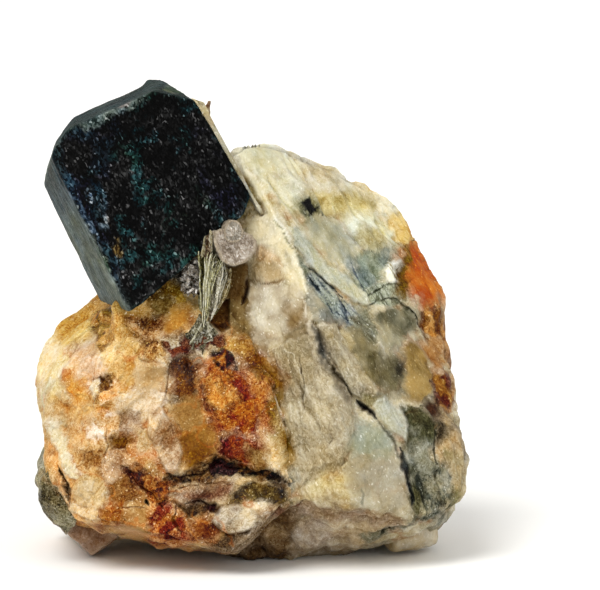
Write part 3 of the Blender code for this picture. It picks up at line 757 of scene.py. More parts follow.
        "#431c08", -2.0, 0.5, fleck="#78532f", share=0.25, contrast=0.3, soft=0.4),
    "beige glass": Patch(
        ((114, 512), (142, 507), (152, 522), (152, 546), (128, 542), (112, 530)),
        "#b38a59", 0.5, 1.2, fleck="#c09366", share=0.3, contrast=0.12, grain=Grain.SMOOTH),
    "brown glass": Patch(
        ((96, 508), (118, 502), (119, 523), (104, 532), (94, 520)),
        "#975b28", 0.0, 0.6, fleck="#6f310a", share=0.3, contrast=0.25, grain=Grain.GLASSY),
    "rust low": Patch(
        ((148, 504), (176, 503), (192, 520), (193, 541), (168, 552), (150, 548), (145, 524)),
        "#92400c", 0.5, 0.6, fleck="#c07f46", share=0.35, contrast=0.35, grain=Grain.CRUMBLED),
    "amber low": Patch(
        ((188, 516), (212, 511), (220, 531), (210, 543), (192, 541)),
        "#93662a", 0.2, 0.6, fleck="#b78f53", share=0.35, contrast=0.25, grain=Grain.GLASSY),
    "white chip": Patch(
        ((211, 519), (222, 507), (238, 503), (252, 507), (260, 516), (252, 527), (235, 534), (220, 531)),
        "#957e54", 1.0, 0.7, (-0.04, 0.1), fleck="#d0bd9a", share=0.35, contrast=0.12, crisp=True),
    "orange left gap": Patch(
        ((62, 476), (76, 480), (73, 502), (64, 504)), "#f0bc76", -0.6, 0.4, contrast=0.2),
    "oval rim": Patch(
        ((72, 484), (82, 475), (95, 477), (100, 490), (93, 505), (77, 505)),
        "#c9a76f", 0.5, 0.5, contrast=0.1, soft=0.5),
    "oval heart": Patch(
        ((78, 484), (88, 480), (92, 492), (87, 502), (78, 498)),
        "#d1b88e", 0.3, 0.3, fleck="#b0946a", share=0.3, grain=Grain.SMOOTH),
    "white low left": Patch(
        ((64, 502), (92, 505), (100, 521), (82, 517), (66, 513)),
        "#e6c592", 0.4, 0.4, contrast=0.15),
    "rust low left": Patch(
        ((58, 513), (88, 520), (94, 534), (74, 534), (58, 527)),
        "#cc8c48", -0.2, 0.4, fleck="#642e06", share=0.35, contrast=0.3),
    "column": Patch(
        ((128, 297), (146, 287), (149, 318), (142, 330), (130, 320)),
        "#d8b474", 0.2, 0.4, contrast=0.25, grain=Grain.GLASSY),
    "amber dark": Patch(
        ((145, 285), (168, 272), (186, 284), (182, 300), (165, 317), (148, 320)),
        "#75581c", -0.2, 0.8, fleck="#816837", share=0.3, contrast=0.25, grain=Grain.GLASSY),
    "olive glint": Patch(
        ((165, 292), (190, 287), (198, 304), (178, 309)),
        "#a88638", 0.1, 0.4, fleck="#cdb070", share=0.3, contrast=0.35, grain=Grain.CRUMBLED),
    "amber right": Patch(
        ((183, 292), (201, 290), (202, 318), (187, 315)), "#d9b878", 0.0, 0.4, grain=Grain.GLASSY),
    "amber bright": Patch(
        ((158, 324), (168, 309), (186, 307), (185, 327), (168, 337), (159, 336)),
        "#a5711f", 0.2, 0.7, fleck="#c99445", share=0.4, contrast=0.12, grain=Grain.SMOOTH),
    "sparkly grey": Patch(
        ((160, 268), (200, 258), (202, 292), (186, 290)),
        "#6a604b", 0.1, 0.5, fleck="#a09680", share=0.35, contrast=0.45, grain=Grain.CRUMBLED),
    "shards": Patch(
        ((127, 320), (158, 319), (165, 341), (150, 353), (134, 341)),
        "#a47b45", 0.1, 0.3, fleck="#d4a971", share=0.35, contrast=0.4, grain=Grain.CRUMBLED),
    "shards low": Patch(
        ((134, 342), (166, 340), (170, 362), (147, 364)),
        "#ae834a", 0.0, 0.3, fleck="#7f521c", share=0.35, contrast=0.35, grain=Grain.CRUMBLED),
    "under the fan": Patch(
        ((158, 337), (180, 332), (204, 336), (226, 333), (233, 346), (222, 353), (196, 352), (170, 353)),
        "#7a5a35", -0.1, 0.4, fleck="#b39d78", share=0.25, contrast=0.35, grain=Grain.CRUMBLED),
    "white crumbs": Patch(
        ((86, 381), (92, 378), (98, 380), (97, 386), (99, 392), (91, 394), (88, 388)),
        "#f0dcb8", 0.6, 0.3, contrast=0.3, soft=0.3, grain=Grain.CRUMBLED),
    "spot hole": Patch(
        ((98, 378), (104, 376), (108, 381), (106, 388), (100, 389)),
        "#6e4a24", -1.6, 0.3, contrast=0.3, soft=0.3),
    "pink cluster": Patch(
        ((85, 416), (94, 409), (108, 412), (114, 426), (104, 438), (92, 440), (83, 430)),
        "#e0bd92", 0.6, 0.6, fleck="#f4dcbc", share=0.35, contrast=0.2, soft=0.5, grain=Grain.CRUMBLED),
    # Painted shade darkens the hole under the fan
    "dark hole": Patch(
        ((166, 344), (184, 345), (195, 355), (177, 356)), "#542711", -2.0, 0.5, contrast=0.3, soft=0.2),
}

CRACKS: dict[str, Crack] = {
    # Painted shade along the valleys, and painted highlights along the ridges
    "groove valley": Crack(
        ((312, 322), (322, 346), (338, 374), (354, 398), (370, 414)), 1.0, 1.3, "#8c8168", 0.3),
    "slab valley": Crack(((286, 352), (297, 380), (310, 410), (328, 442)), 0.6, 0.7, "#8f8268", 0.35),
    "slab ridge": Crack(
        ((308, 338), (322, 364), (334, 396), (344, 430), (342, 458)), -0.7, 1.5, "#c5b99e", 0.25),
    "left slab ridge": Crack(((274, 356), (286, 384), (294, 416), (302, 446)), -0.4, 0.9, "#b9ab8c", 0.2),
    "rib ridge": Crack(((334, 328), (342, 350), (354, 374), (366, 394)), -0.5, 0.7, "#c6bb9f", 0.35),
    "foot valley": Crack(((300, 488), (318, 474), (338, 468), (352, 452)), 0.6, 0.7, "#8f8468", 0.3),
    # Painted shade in the groove, darkest at its bottom
    "groove upper": Crack(((313, 326), (320, 345), (328, 361)), 0.6, 0.5, "#6e706c", 0.6),
    "groove middle": Crack(((328, 361), (340, 380), (354, 398)), 0.6, 0.5, "#6b604c", 0.6),
    "groove bottom": Crack(((357, 400), (366, 408), (378, 418)), 1.2, 0.55, "#15181a", 0.95),
    "groove side": Crack(((378, 418), (390, 434), (400, 458)), 0.5, 0.3, "#66665a", 0.6),
    # Painted highlights along the lit rims
    "facet rim": Crack(((302, 297), (307, 308), (308, 318)), -0.14, 0.14, "#ebe2cc", 0.5),
    "slab rim": Crack(
        ((284, 346), (294, 357), (301, 374), (303, 388), (306, 404)), -0.1, 0.14, "#d0c5aa", 0.6),
    "ridge rim": Crack(
        ((234, 152), (250, 174), (264, 196), (280, 222), (294, 250), (303, 276), (309, 300)),
        -0.12, 0.16, "#efe8d2", 0.6),
    # Painted shade in the groove's lower part
    "groove lower": Crack(
        ((400, 448), (406, 470), (409, 486), (414, 504)), 1.0, 0.45, "#2a3032", 0.9),
    "first blue slit": Crack(((308, 277), (314, 285), (322, 291)), 0.9, 0.32, "#29333a", 0.95),
    "second blue slit": Crack(((311, 268), (322, 279), (336, 294), (348, 306)), 0.7, 0.26, "#3f4b54", 0.85),
    "third blue slit": Crack(((338, 298), (346, 310), (350, 322)), 0.6, 0.3, "#3c4650", 0.8),
    "fourth blue slit": Crack(((351, 262), (357, 273), (360, 286), (368, 296)), 0.6, 0.3, "#46525a", 0.8),
    "corner crack": Crack(
        ((384, 300), (398, 298), (408, 308), (418, 322), (427, 337)), 0.7, 0.28, "#33341f", 0.8),
    "curl line": Crack(((362, 297), (374, 295), (384, 286), (402, 285)), 0.5, 0.2, "#4b4d30", 0.8),
    "lower curl": Crack(((366, 306), (378, 300), (392, 299)), 0.4, 0.2, "#5a5c44", 0.7),
    "cream crack": Crack(((252, 282), (268, 284), (286, 281)), 0.4, 0.2, "#826743", 0.7),
    "recess slot": Crack(((248, 280), (246, 292), (242, 304)), 0.8, 0.45, "#3b2410", 0.85),
    "slab crack": Crack(((299, 358), (302, 380), (305, 409)), 0.5, 0.22, "#84755a", 0.6),
    "second slab crack": Crack(((330, 424), (333, 440), (322, 452)), 0.4, 0.22, "#857559", 0.6),
    # Painted shade along the line beside the ridge
    "ridge line": Crack(((276, 220), (291, 248), (301, 268)), 0.4, 0.2, "#8f8b66", 0.7),
    "under streak": Crack(((270, 519), (284, 509), (305, 504)), 0.5, 0.35, "#5a3012", 0.85),
    "facet tick": Crack(((362, 488), (363, 505)), 0.2, 0.3, "#7b7a68", 0.7),
    "slab line": Crack(((436, 424), (431, 450), (434, 480), (440, 514)), 0.5, 0.3, "#5b5846", 0.7),
    "slab foot line": Crack(((418, 470), (422, 492), (428, 514)), 0.5, 0.35, "#4e5148", 0.75),
    "lower right crack": Crack(((378, 536), (396, 526), (420, 520), (444, 512)), 0.5, 0.4, "#4f5145", 0.7),
    # A painted highlight on the long crack's raised lip, and painted shade on its floor
    "long crack lip": Crack(
        ((168, 470), (182, 472), (206, 461), (216, 454), (240, 461), (264, 468), (284, 478)),
        -0.3, 0.25, "#b08a5a", 0.3),
    "long crack floor": Crack(
        ((172, 477), (200, 474), (218, 463), (244, 470), (276, 480)), 0.8, 0.28, "#32140a", 0.8),
    "bench line": Crack(((176, 488), (200, 486), (236, 480)), 0.3, 0.2, "#5b3a20", 0.6),
    # Painted shade on the recess's floor and in the gap beside the lump
    "recess floor": Crack(((182, 505), (200, 502), (218, 506)), 0.5, 0.22, "#3a180b", 0.7),
    "lump gap": Crack(((58, 468), (66, 484), (67, 504), (62, 516)), 1.2, 0.45, "#2c1d0c", 0.85),
    "first vein": Crack(((124, 472), (138, 486), (152, 498), (166, 512)), 0.6, 0.3, "#5c290c", 0.8),
    "second vein": Crack(((176, 506), (172, 520), (180, 534)), 0.6, 0.35, "#4f1b06", 0.8),
    "vein dot": Crack(((146, 500), (149, 507)), 0.9, 0.25, "#120a08", 0.9),
    "quad edge": Crack(((168, 352), (168, 376), (166, 396), (173, 412)), 0.4, 0.2, "#8a6238", 0.4),
    "quad top": Crack(((130, 344), (140, 362), (154, 361), (170, 366)), 0.4, 0.2, "#8a6238", 0.4),
    "pit edge": Crack(((104, 430), (107, 446), (104, 462)), 0.4, 0.2, "#8a5c30", 0.4),
    "left seam": Crack(((96, 448), (84, 456), (76, 470)), 0.3, 0.2, "#96683a", 0.4),
    "chip shade": Crack(((212, 524), (226, 534), (246, 531), (258, 520)), 0.6, 0.3, "#6b4a24", 0.6),
    "glass edge": Crack(((112, 510), (134, 506), (150, 512)), 0.3, 0.25, "#8a5428", 0.5),
    "oval edge": Crack(((74, 484), (70, 494), (76, 506), (92, 507)), 0.4, 0.2, "#b48650", 0.4),
    "nub seam": Crack(((72, 532), (96, 532), (128, 534)), 0.6, 0.3, "#6a3c18", 0.7),
}

CRYSTAL_PATCHES: dict[str, Patch] = {
    "teal corner": Patch(
        ((58, 140), (84, 122), (112, 112), (122, 140), (104, 176), (78, 176), (56, 160)),
        "#141c1f", fleck="#192226", contrast=0.2, soft=1.4, grain=Grain.SMOOTH),
    "navy side": Patch(
        ((190, 110), (204, 128), (232, 170), (248, 202), (226, 222), (206, 180), (190, 140)),
        "#12161a", fleck="#181d21", contrast=0.2, soft=1.6, grain=Grain.SMOOTH),
    "green heart": Patch(
        ((176, 186), (204, 184), (216, 204), (200, 228), (176, 220)),
        "#141b19", fleck="#1a2321", contrast=0.2, soft=1.6, grain=Grain.SMOOTH),
    "blue bevel": Patch(
        ((54, 164), (74, 178), (98, 188), (106, 204), (109, 236), (115, 262), (121, 292), (114, 280),
         (100, 246), (86, 220), (68, 193)),
        "#17222a", fleck="#24323b", contrast=0.3, soft=0.5, grain=Grain.SMOOTH),
    "sparkling band": Patch(
        ((86, 196), (100, 194), (106, 206), (105, 226), (98, 224), (90, 210)),
        "#222d32", fleck="#7e8d94", share=0.15, contrast=0.3, soft=0.5, grain=Grain.CRUMBLED),
    "gold specks": Patch(
        ((105, 212), (112, 214), (121, 234), (122, 252), (113, 252), (108, 232)),
        "#1f1c15", fleck="#5c4a2c", share=0.15, contrast=0.3, soft=0.5, grain=Grain.CRUMBLED),
    "edge light": Patch(
        ((62, 179), (72, 194), (88, 219), (103, 247), (101, 249), (85, 221), (69, 196), (61, 182)),
        "#5f7276", fleck="#93a4a4", soft=0.15, grain=Grain.SMOOTH),
    "tip light": Patch(
        ((99, 250), (105, 258), (113, 276), (119, 292), (115, 288), (108, 272)),
        "#66756f", fleck="#93a19c", soft=0.25, grain=Grain.SMOOTH),
    "yellow-green film": Patch(
        ((162, 89), (170, 86), (178, 90), (177, 95), (166, 95)),
        "#7f8a6c", 0.1, 0.3, fleck="#a9b091", share=0.4, soft=0.3, grain=Grain.CRUMBLED),
    "top light": Patch(
        ((80, 122), (100, 108), (144, 84), (150, 92), (112, 112), (88, 128)),
        "#4a5653", fleck="#59645f", soft=1.2, grain=Grain.SMOOTH),
    "top blush": Patch(
        ((118, 96), (140, 84), (144, 88), (124, 101)), "#5d5852", soft=0.5, grain=Grain.SMOOTH),
    # Painted shade darkens the upper end of the left face
    "shaded upper end of the left face": Patch(
        ((40, 140), (60, 140), (66, 186), (70, 208), (58, 214), (46, 200), (40, 170)),
        "#1f2a2e", fleck="#2e3b40", soft=1.6, grain=Grain.SMOOTH),
}
FELDSPAR_STAINS: tuple[Stain, ...] = (
    Stain((24.0, 6.0, 38.0), 7.0, "#b8681f"),
    Stain((27.0, 4.0, 25.0), 7.0, "#7d4a1b"),
    Stain((28.0, 4.0, 11.0), 8.0, "#8d7a5a", 0.7),
    Stain((6.0, 8.0, 53.0), 9.0, "#ddd5b6", 0.8),
    Stain((16.0, 9.0, 48.0), 6.0, "#d9b873", 0.7),
    Stain((10.0, 17.0, 20.0), 7.0, "#9c8a68", 0.6),
)
QUARTZ_STAINS: tuple[Stain, ...] = (
    Stain((-27.0, 2.0, 27.0), 8.0, "#ecd5a6", 0.8),
    Stain((-27.0, 4.0, 15.0), 6.0, "#d9b273", 0.8),
    Stain((-22.0, 6.0, 33.0), 6.0, "#cf9f4c", 0.8),
    Stain((-8.0, 8.0, 37.0), 8.0, "#9a7434", 0.8),
    Stain((-14.0, 13.0, 18.0), 8.0, "#b98a52", 0.7),
)


def unit(azimuth: float, elevation: float) -> np.ndarray:
    """Unit vector for an azimuth and an elevation.

    Args:
        azimuth: Angle from the viewer towards the right in degrees.
        elevation: Angle up from level in degrees.

    Returns:
        The vector.
    """
    a = math.radians(azimuth)
    e = math.radians(elevation)
    return np.array((math.sin(a) * math.cos(e), -math.cos(a) * math.cos(e), math.sin(e)))


def linear(colour: str) -> np.ndarray:
    """Linear red, green and blue of an sRGB hex colour."""
    values = np.array([int(colour[i:i + 2], 16) for i in (1, 3, 5)]) / 255.0
    return np.where(values <= 0.04045, values / 12.92, ((values + 0.055) / 1.055) ** 2.4)


def pigment(seen: str, spread: float = 0.35) -> np.ndarray:
    """Linear colour of the stone that shows as the given colour under the studio's light.

    The share of light that the gloss sends back is taken off, and the rest is divided by how
    brightly the studio lights a front face. The grains raise the colour to powers from
    1 - spread to 1 + spread, and their mean is brighter than the plain colour by sinh(s) / s,
    where s is the spread times the logarithm of the colour, so that is taken off too.

    Args:
        seen: sRGB hex as it shows.
        spread: How much the powers differ.

    Returns:
        Linear red, green and blue.
    """
    plain = np.clip((linear(seen) - STUDIO.veil) / STUDIO.exposure, 0.0005, 0.92)
    s = -spread * np.log(plain)
    return plain * s / np.sinh(s)


def all_over(row: np.ndarray, count: int) -> np.ndarray:
    """The same row for every one of count points."""
    return np.repeat(row[None], count, axis=0)


def smoothstep(low: float, high: float, value: np.ndarray) -> np.ndarray:
    """Ease from nothing at low to one at high."""
    t = np.clip((value - low) / (high - low), 0.0, 1.0)
    return t * t * (3.0 - 2.0 * t)


def blend(first: np.ndarray, second: np.ndarray, share: np.ndarray) -> np.ndarray:
    """Rows of the first mixed with the second by a share for each row."""
    return first + (second - first) * share[:, None]


def inside_distance(points: np.ndarray, outline: np.ndarray) -> np.ndarray:
    """Distance of flat points to a closed outline, above nothing inside it.

    Args:
        points: Two columns.
        outline: Corners of the outline in order.

    Returns:
        The distance of each point. It is inside where a line from it crosses an odd number of sides.
    """
    nearest = np.full(len(points), np.inf)
    inside = np.zeros(len(points), bool)
    for a, b in zip(outline, np.roll(outline, -1, axis=0)):
        along = b - a
        from_a = points - a
        t = np.clip(from_a @ along / (along @ along), 0.0, 1.0)
        nearest = np.minimum(nearest, np.linalg.norm(from_a - t[:, None] * along, axis=1))
        crosses = (a[1] > points[:, 1]) != (b[1] > points[:, 1])
        rise = along[1] if abs(along[1]) > 1e-9 else 1e-9
        inside ^= crosses & (points[:, 0] < a[0] + along[0] * (points[:, 1] - a[1]) / rise)
    return np.where(inside, nearest, -nearest)


def path_distance(points: np.ndarray, path: np.ndarray) -> tuple[np.ndarray, np.ndarray]:
    """Distance of flat points to an open path, and where along it they lie.

    Args:
        points: Two columns.
        path: Points of the path in order.

    Returns:
        The distances, and the places along the path from 0 to 1.
    """
    lengths = np.linalg.norm(np.diff(path, axis=0), axis=1)
    before = np.concatenate(((0.0,), np.cumsum(lengths))) / lengths.sum()
    nearest = np.full(len(points), np.inf)
    place = np.zeros(len(points))
    for a, b, start, end in zip(path[:-1], path[1:], before[:-1], before[1:]):
        along = b - a
        from_a = points - a
        t = np.clip(from_a @ along / (along @ along), 0.0, 1.0)
        gap = np.linalg.norm(from_a - t[:, None] * along, axis=1)
        place = np.where(gap < nearest, start + t * (end - start), place)
        nearest = np.minimum(nearest, gap)
    return nearest, place


def looked_up(table: np.ndarray, cell: np.ndarray) -> np.ndarray:
    """Entries of a cubic table for whole-number cells; the table repeats every way."""
    index = cell % len(table)
    return table[index[:, 0], index[:, 1], index[:, 2]]


def lattice(points: np.ndarray, size: float, seed: int) -> np.ndarray:
    """Smooth noise from -1 to 1: random values on a cubic lattice, eased between its corners.

    Args:
        points: Places in mm.
        size: Side of a cube in mm.
        seed: Seed of the values.

    Returns:
        The noise at each point.
    """
    table = np.random.default_rng(seed).uniform(-1.0, 1.0, (LATTICE_CELLS,) * 3)
    scaled = points / size + LATTICE_SHIFT
    cell = np.floor(scaled).astype(int)
    part = scaled - cell
    part = part * part * (3.0 - 2.0 * part)
    total = np.zeros(len(points))
    for corner in itertools.product((0, 1), repeat=3):
        weight = np.prod(np.where(np.array(corner), part, 1.0 - part), axis=1)
        total += weight * looked_up(table, cell + corner)
    return total


def fractal(points: np.ndarray, size: float, seed: int, octaves: int = 4, gain: float = 0.55) -> np.ndarray:
    """Sum of lattice noises, each half the size and gain times the height of the one before.

    Args:
        points: Places in mm.
        size: Size of the largest noise in mm.
        seed: Seed of the noise.
        octaves: Number of noises.
        gain: Height of each against the one before.

    Returns:
        The noise at each point.
    """
    total = np.zeros(len(points))
    height = 1.0
    for octave in range(octaves):
        total += height * lattice(points, size / 2.0 ** octave, seed + 17 * octave)
        height *= gain
    return total


def drifted(points: np.ndarray, reach: float, size: float, seed: int, octaves: int = 1) -> np.ndarray:
    """Points moved along every axis by noise of the given size in mm, times the reach in mm."""
    moves = [fractal(points, size, seed + axis, octaves) for axis in range(3)]
    return points + reach * np.stack(moves, axis=1)


def streaks(points: np.ndarray, along: np.ndarray, width: float, length: float, seed: int) -> np.ndarray:
    """Noise drawn out along a direction: its lattice is length long and width across."""
    stretched = points - np.outer(points @ along, along) * (1.0 - width / length)
    return fractal(stretched, width, seed, 3, 0.6)


def scattered(points: np.ndarray, size: float, seed: int,
              extras: int) -> Iterator[tuple[np.ndarray, np.ndarray, np.ndarray]]:
    """Seeds scattered one to a cube, those of the 27 cubes round each point in turn.

    Args:
        points: Places in mm.
        size: Side of a cube in mm.
        seed: Seed of the scattering.
        extras: Random values that each seed has beside its place.

    Yields:
        The way from the seed to each point and the seed's place, both in cubes, and the values.
    """
    table = np.random.default_rng(seed).uniform(0.0, 1.0, (SCATTER_CELLS,) * 3 + (3 + extras,))
    scaled = points / size + SCATTER_SHIFT
    cell = np.floor(scaled).astype(int)
    for offset in itertools.product((-1, 0, 1), repeat=3):
        row = looked_up(table, cell + offset)
        place = cell + offset + row[:, :3]
        yield scaled - place, place, row[:, 3:]


def grain_middles(points: np.ndarray, size: float, seed: int) -> np.ndarray:
    """Angular grains: every point belongs to the nearest of the scattered seeds.

    Args:
        points: Places in mm.
        size: Usual width of a grain in mm.
        seed: Seed of the grains.

    Returns:
        The middle of the grain at each point, in mm.
    """
    best = np.full(len(points), np.inf)
    middle = np.zeros_like(points)
    # A seed's one value isn't read, but leaving it out would move every grain
    for away, place, _ in scattered(points, size, seed, 1):
        gap = (away ** 2).sum(1)
        closer = gap < best
        middle[closer] = place[closer]
        best = np.where(closer, gap, best)
    return (middle - SCATTER_SHIFT) * size


def terraces(values: np.ndarray, riser: float) -> np.ndarray:
    """Turn a smooth height into level treads with short risers between them."""
    level = np.floor(values)
    return level + smoothstep(1.0 - riser, 1.0, values - level)


def flat_facets(points: np.ndarray, size: float, seed: int) -> np.ndarray:
    """Relief of flat facets that meet in sharp edges, from -1 to 1.

    Random heights stand on a lattice of cubes; each cube is cut into six tetrahedra, and the
    height runs straight between the corners of a tetrahedron.

    Args:
        points: Places in mm.
        size: Side of a cube in mm.
        seed: Seed of the heights.

    Returns:
        The height at each point.
    """
    table = np.random.default_rng(seed).uniform(-1.0, 1.0, (LATTICE_CELLS,) * 3)
    scaled = points / size + LATTICE_SHIFT
    corner = np.floor(scaled).astype(int)
    part = scaled - corner
    order = np.argsort(-part, axis=1)
    ranked = np.take_along_axis(part, order, axis=1)
    rows = np.arange(len(points))
    total = np.zeros(len(points))
    before = np.ones(len(points))
    for step in range(3):
        after = ranked[:, step]
        total += looked_up(table, corner) * (before - after)
        corner[rows, order[:, step]] += 1
        before = after
    return total + looked_up(table, corner) * before


def bowls(points: np.ndarray, size: float, seed: int) -> np.ndarray:
    """Shell-shaped fracture about nothing: shallow bowls that meet in sharp ridges.

    The height is the lowest of the bowls round scattered seeds, each a squared distance with
    a lean of its own.

    Args:
        points: Places in mm.
        size: Usual width of a bowl in mm.
        seed: Seed of the bowls.

    Returns:
        The height at each point, as a share of the size.
    """
    lowest = np.full(len(points), np.inf)
    for away, _, lean in scattered(points, size, seed, 3):
        bowl = (away ** 2).sum(1) + 0.8 * ((lean - 0.5) * away).sum(1)
        lowest = np.minimum(lowest, bowl)
    return lowest - BOWL_LEVEL


def ring_quads(rings: int, around: int) -> np.ndarray:
    """Quads between closed rings of points that are numbered ring by ring.

    Args:
        rings: Number of rings.
        around: Points in each.

    Returns:
        Rows of four point numbers.
    """
    ring, step = np.meshgrid(np.arange(rings - 1), np.arange(around), indexing="ij")
    here = ring * around + step
    there = ring * around + (step + 1) % around
    return np.stack((here, there, there + around, here + around), axis=2).reshape(-1, 4)


def sheet_quads(index: np.ndarray) -> np.ndarray:
    """Quads between points whose numbers stand on a square grid."""
    quads = np.stack((index[:-1, :-1], index[1:, :-1], index[1:, 1:], index[:-1, 1:]), axis=2)
    return quads.reshape(-1, 4, *index.shape[2:])


def cube_sphere(steps: int, stretch: Point) -> tuple[np.ndarray, np.ndarray]:
    """Unit directions on six joined square grids, closed and with no poles.

    Each square's two parameters run from -1 to 1 and are spaced by equal angles. The
    grid is then stretched.

    Args:
        steps: Squares along one side.
        stretch: Factors along the three axes.

    Returns:
        Directions, and quads as rows of four indices that face outwards.
    """
    line = np.arange(steps + 1)
    first, second = np.meshgrid(line, line, indexing="ij")
    corners = []
    for axis in range(3):
        for side in (0, steps):
            grid = np.empty((steps + 1, steps + 1, 3), int)
            grid[..., axis] = side
            grid[..., (axis + 1) % 3] = first
            grid[..., (axis + 2) % 3] = second
            flip = grid if side else grid[:, ::-1]
            corners.append(sheet_quads(flip).reshape(-1, 3))
    every = np.concatenate(corners)
    keys = (every[:, 0] * (steps + 1) + every[:, 1]) * (steps + 1) + every[:, 2]
    _, first_at, index = np.unique(keys, return_index=True, return_inverse=True)
    cube = np.tan((every[first_at] / steps * 2.0 - 1.0) * math.pi / 4.0)
    ball = cube / np.linalg.norm(cube, axis=1)[:, None] * np.array(stretch)
    return ball / np.linalg.norm(ball, axis=1)[:, None], index.reshape(-1, 4)


def skin_level(offsets: np.ndarray, faces: dict[str, Face],
               roundness: float) -> tuple[np.ndarray, np.ndarray]:
    """Level of points about a soft-edged convex skin, 1 on it and less inside.

    The level is the power sum of the reach towards every face, as a share of the face's distance.

    Args:
        offsets: Places from the centre.
        faces: Azimuth, elevation and distance of each flat face.
        roundness: Power of the sum; the higher, the sharper the edges.

    Returns:
        The level, and the outward normals of the skin of that level.
    """
    normals = np.array([unit(azimuth, elevation) for azimuth, elevation, _ in faces.values()])
    distances = np.array([distance for _, _, distance in faces.values()])
    reach = np.clip(offsets @ normals.T / distances, 1e-9, None)
    top = reach.max(1, keepdims=True)
    share = (reach / top) ** roundness
    level = top[:, 0] * share.sum(1) ** (1.0 / roundness)
    outward = (share / reach) @ (normals / distances[:, None])
    return level, outward / np.linalg.norm(outward, axis=1)[:, None]


def quad_normals(points: np.ndarray, quads: np.ndarray) -> np.ndarray:
    """Unit normals of a mesh of quads at its points, from the mean of the faces round each.

    Args:
        points: Places in mm.
        quads: Faces.

    Returns:
        One normal for each point.
    """
    across = np.cross(points[quads[:, 2]] - points[quads[:, 0]], points[quads[:, 3]] - points[quads[:, 1]])
    total = np.zeros_like(points)
    for axis in range(3):
        for corner in range(4):
            total[:, axis] += np.bincount(quads[:, corner], across[:, axis], len(points))
    return total / np.maximum(np.linalg.norm(total, axis=1)[:, None], 1e-12)


def hollowness(points: np.ndarray, quads: np.ndarray, rounds: int) -> np.ndarray:
    """How far each point lies below the smoothed surface.

    In each round of smoothing a point moves to the mean of its neighbours.

    Args:
        points: Places in mm.
        quads: Faces.
        rounds: Rounds of smoothing.

    Returns:
        The depth in mm; ridges are below nothing.
    """
    ends = np.concatenate((quads[:, (0, 1)], quads[:, (1, 2)], quads[:, (2, 3)], quads[:, (3, 0)]))
    count = np.bincount(ends[:, 0], minlength=len(points)) + np.bincount(ends[:, 1], minlength=len(points))
    smooth = points.copy()
    for _ in range(rounds):
        total = np.zeros_like(smooth)
        for axis in range(3):
            total[:, axis] = np.bincount(ends[:, 0], smooth[ends[:, 1], axis], len(points))
            total[:, axis] += np.bincount(ends[:, 1], smooth[ends[:, 0], axis], len(points))
        smooth = total / count[:, None]
    return ((smooth - points) * quad_normals(points, quads)).sum(1)


@dataclass
class Surface:
    """A mesh being made: points in mm, faces, and what the finish reads at each point."""

    points: np.ndarray
    faces: np.ndarray
    tint: np.ndarray
    gloss: np.ndarray
    grit: np.ndarray

    def shown(self, name: str, material: bpy.types.Material, smooth: bool = True) -> bpy.types.Object:
        """Put the surface in the scene.

        Args:
            name: Name of the piece.
            material: Its finish.
            smooth: Whether its faces are shaded smooth.

        Returns:
            The new object, at the origin, in metres.
        """
        width = self.faces.shape[1]
        mesh = bpy.data.meshes.new(name)
        mesh.vertices.add(len(self.points))
        mesh.vertices.foreach_set("co", ((self.points + TO_FRAME) * MM).astype(np.float32).ravel())
        mesh.loops.add(self.faces.size)
        mesh.loops.foreach_set("vertex_index", self.faces.astype(np.int32).ravel())
        mesh.polygons.add(len(self.faces))
        mesh.polygons.foreach_set("loop_start", np.arange(0, self.faces.size, width, dtype=np.int32))
        mesh.polygons.foreach_set("use_smooth", np.full(len(self.faces), smooth))
        mesh.update(calc_edges=True)
        rgba = np.concatenate((self.tint, np.ones((len(self.tint), 1))), axis=1)
        tint = mesh.attributes.new("tint", "FLOAT_COLOR", "POINT")
        tint.data.foreach_set("color", rgba.astype(np.float32).ravel())
        for key, values in (("gloss", self.gloss), ("grit", self.grit)):
            mesh.attributes.new(key, "FLOAT", "POINT").data.foreach_set("value", values.astype(np.float32))
        mesh.materials.append(material)
        piece = bpy.data.objects.new(name, mesh)
        bpy.context.scene.collection.objects.link(piece)
        return piece


def joined(parts: list[Surface]) -> Surface:
    """Several surfaces as one, with their faces renumbered.

    Args:
        parts: The surfaces.

    Returns:
        The whole.
    """
    offsets = np.cumsum([0] + [len(part.points) for part in parts[:-1]])
    faces = np.concatenate([part.faces + offset for part, offset in zip(parts, offsets)])
    points, tint, gloss, grit = (
        np.concatenate([getattr(part, key) for part in parts]) for key in ("points", "tint", "gloss", "grit"))
    return Surface(points, faces, tint, gloss, grit)


def fit_to_body(piece: bpy.types.Object, slot: str, *nodes: str) -> None:
    """Let a piece ride on the specimen.

    Args:
        piece: The finished piece.
        slot: Not used.
        *nodes: CAD nodes that it stands for.
    """
    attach(piece, BODY)
    if nodes:
        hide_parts(*nodes)
    log.info("%s: %d faces", piece.name, len(piece.data.polygons))


def add_node(tree: bpy.types.NodeTree, kind: str, inputs: dict | None = None, **settings) -> bpy.types.Node:
    """Add a node with its settings, values and links.

    Args:
        tree: Node tree of the material.
        kind: Blender's name for the node.
        inputs: Value or output socket for each input, by name or number.
        **settings: Properties of the node.

    Returns:
        The new node.
    """
    made = tree.nodes.new(kind)
    for key, value in settings.items():
        setattr(made, key, value)
    for key, value in (inputs or {}).items():
        if isinstance(value, bpy.types.NodeSocket):
            tree.links.new(value, made.inputs[key])
        else:
            made.inputs[key].default_value = value
    return made


def per_mm(size: float) -> float:
    """Texture scale on metre coordinates of a pattern whose features are size mm wide."""
    return 1.0 / (size * MM)


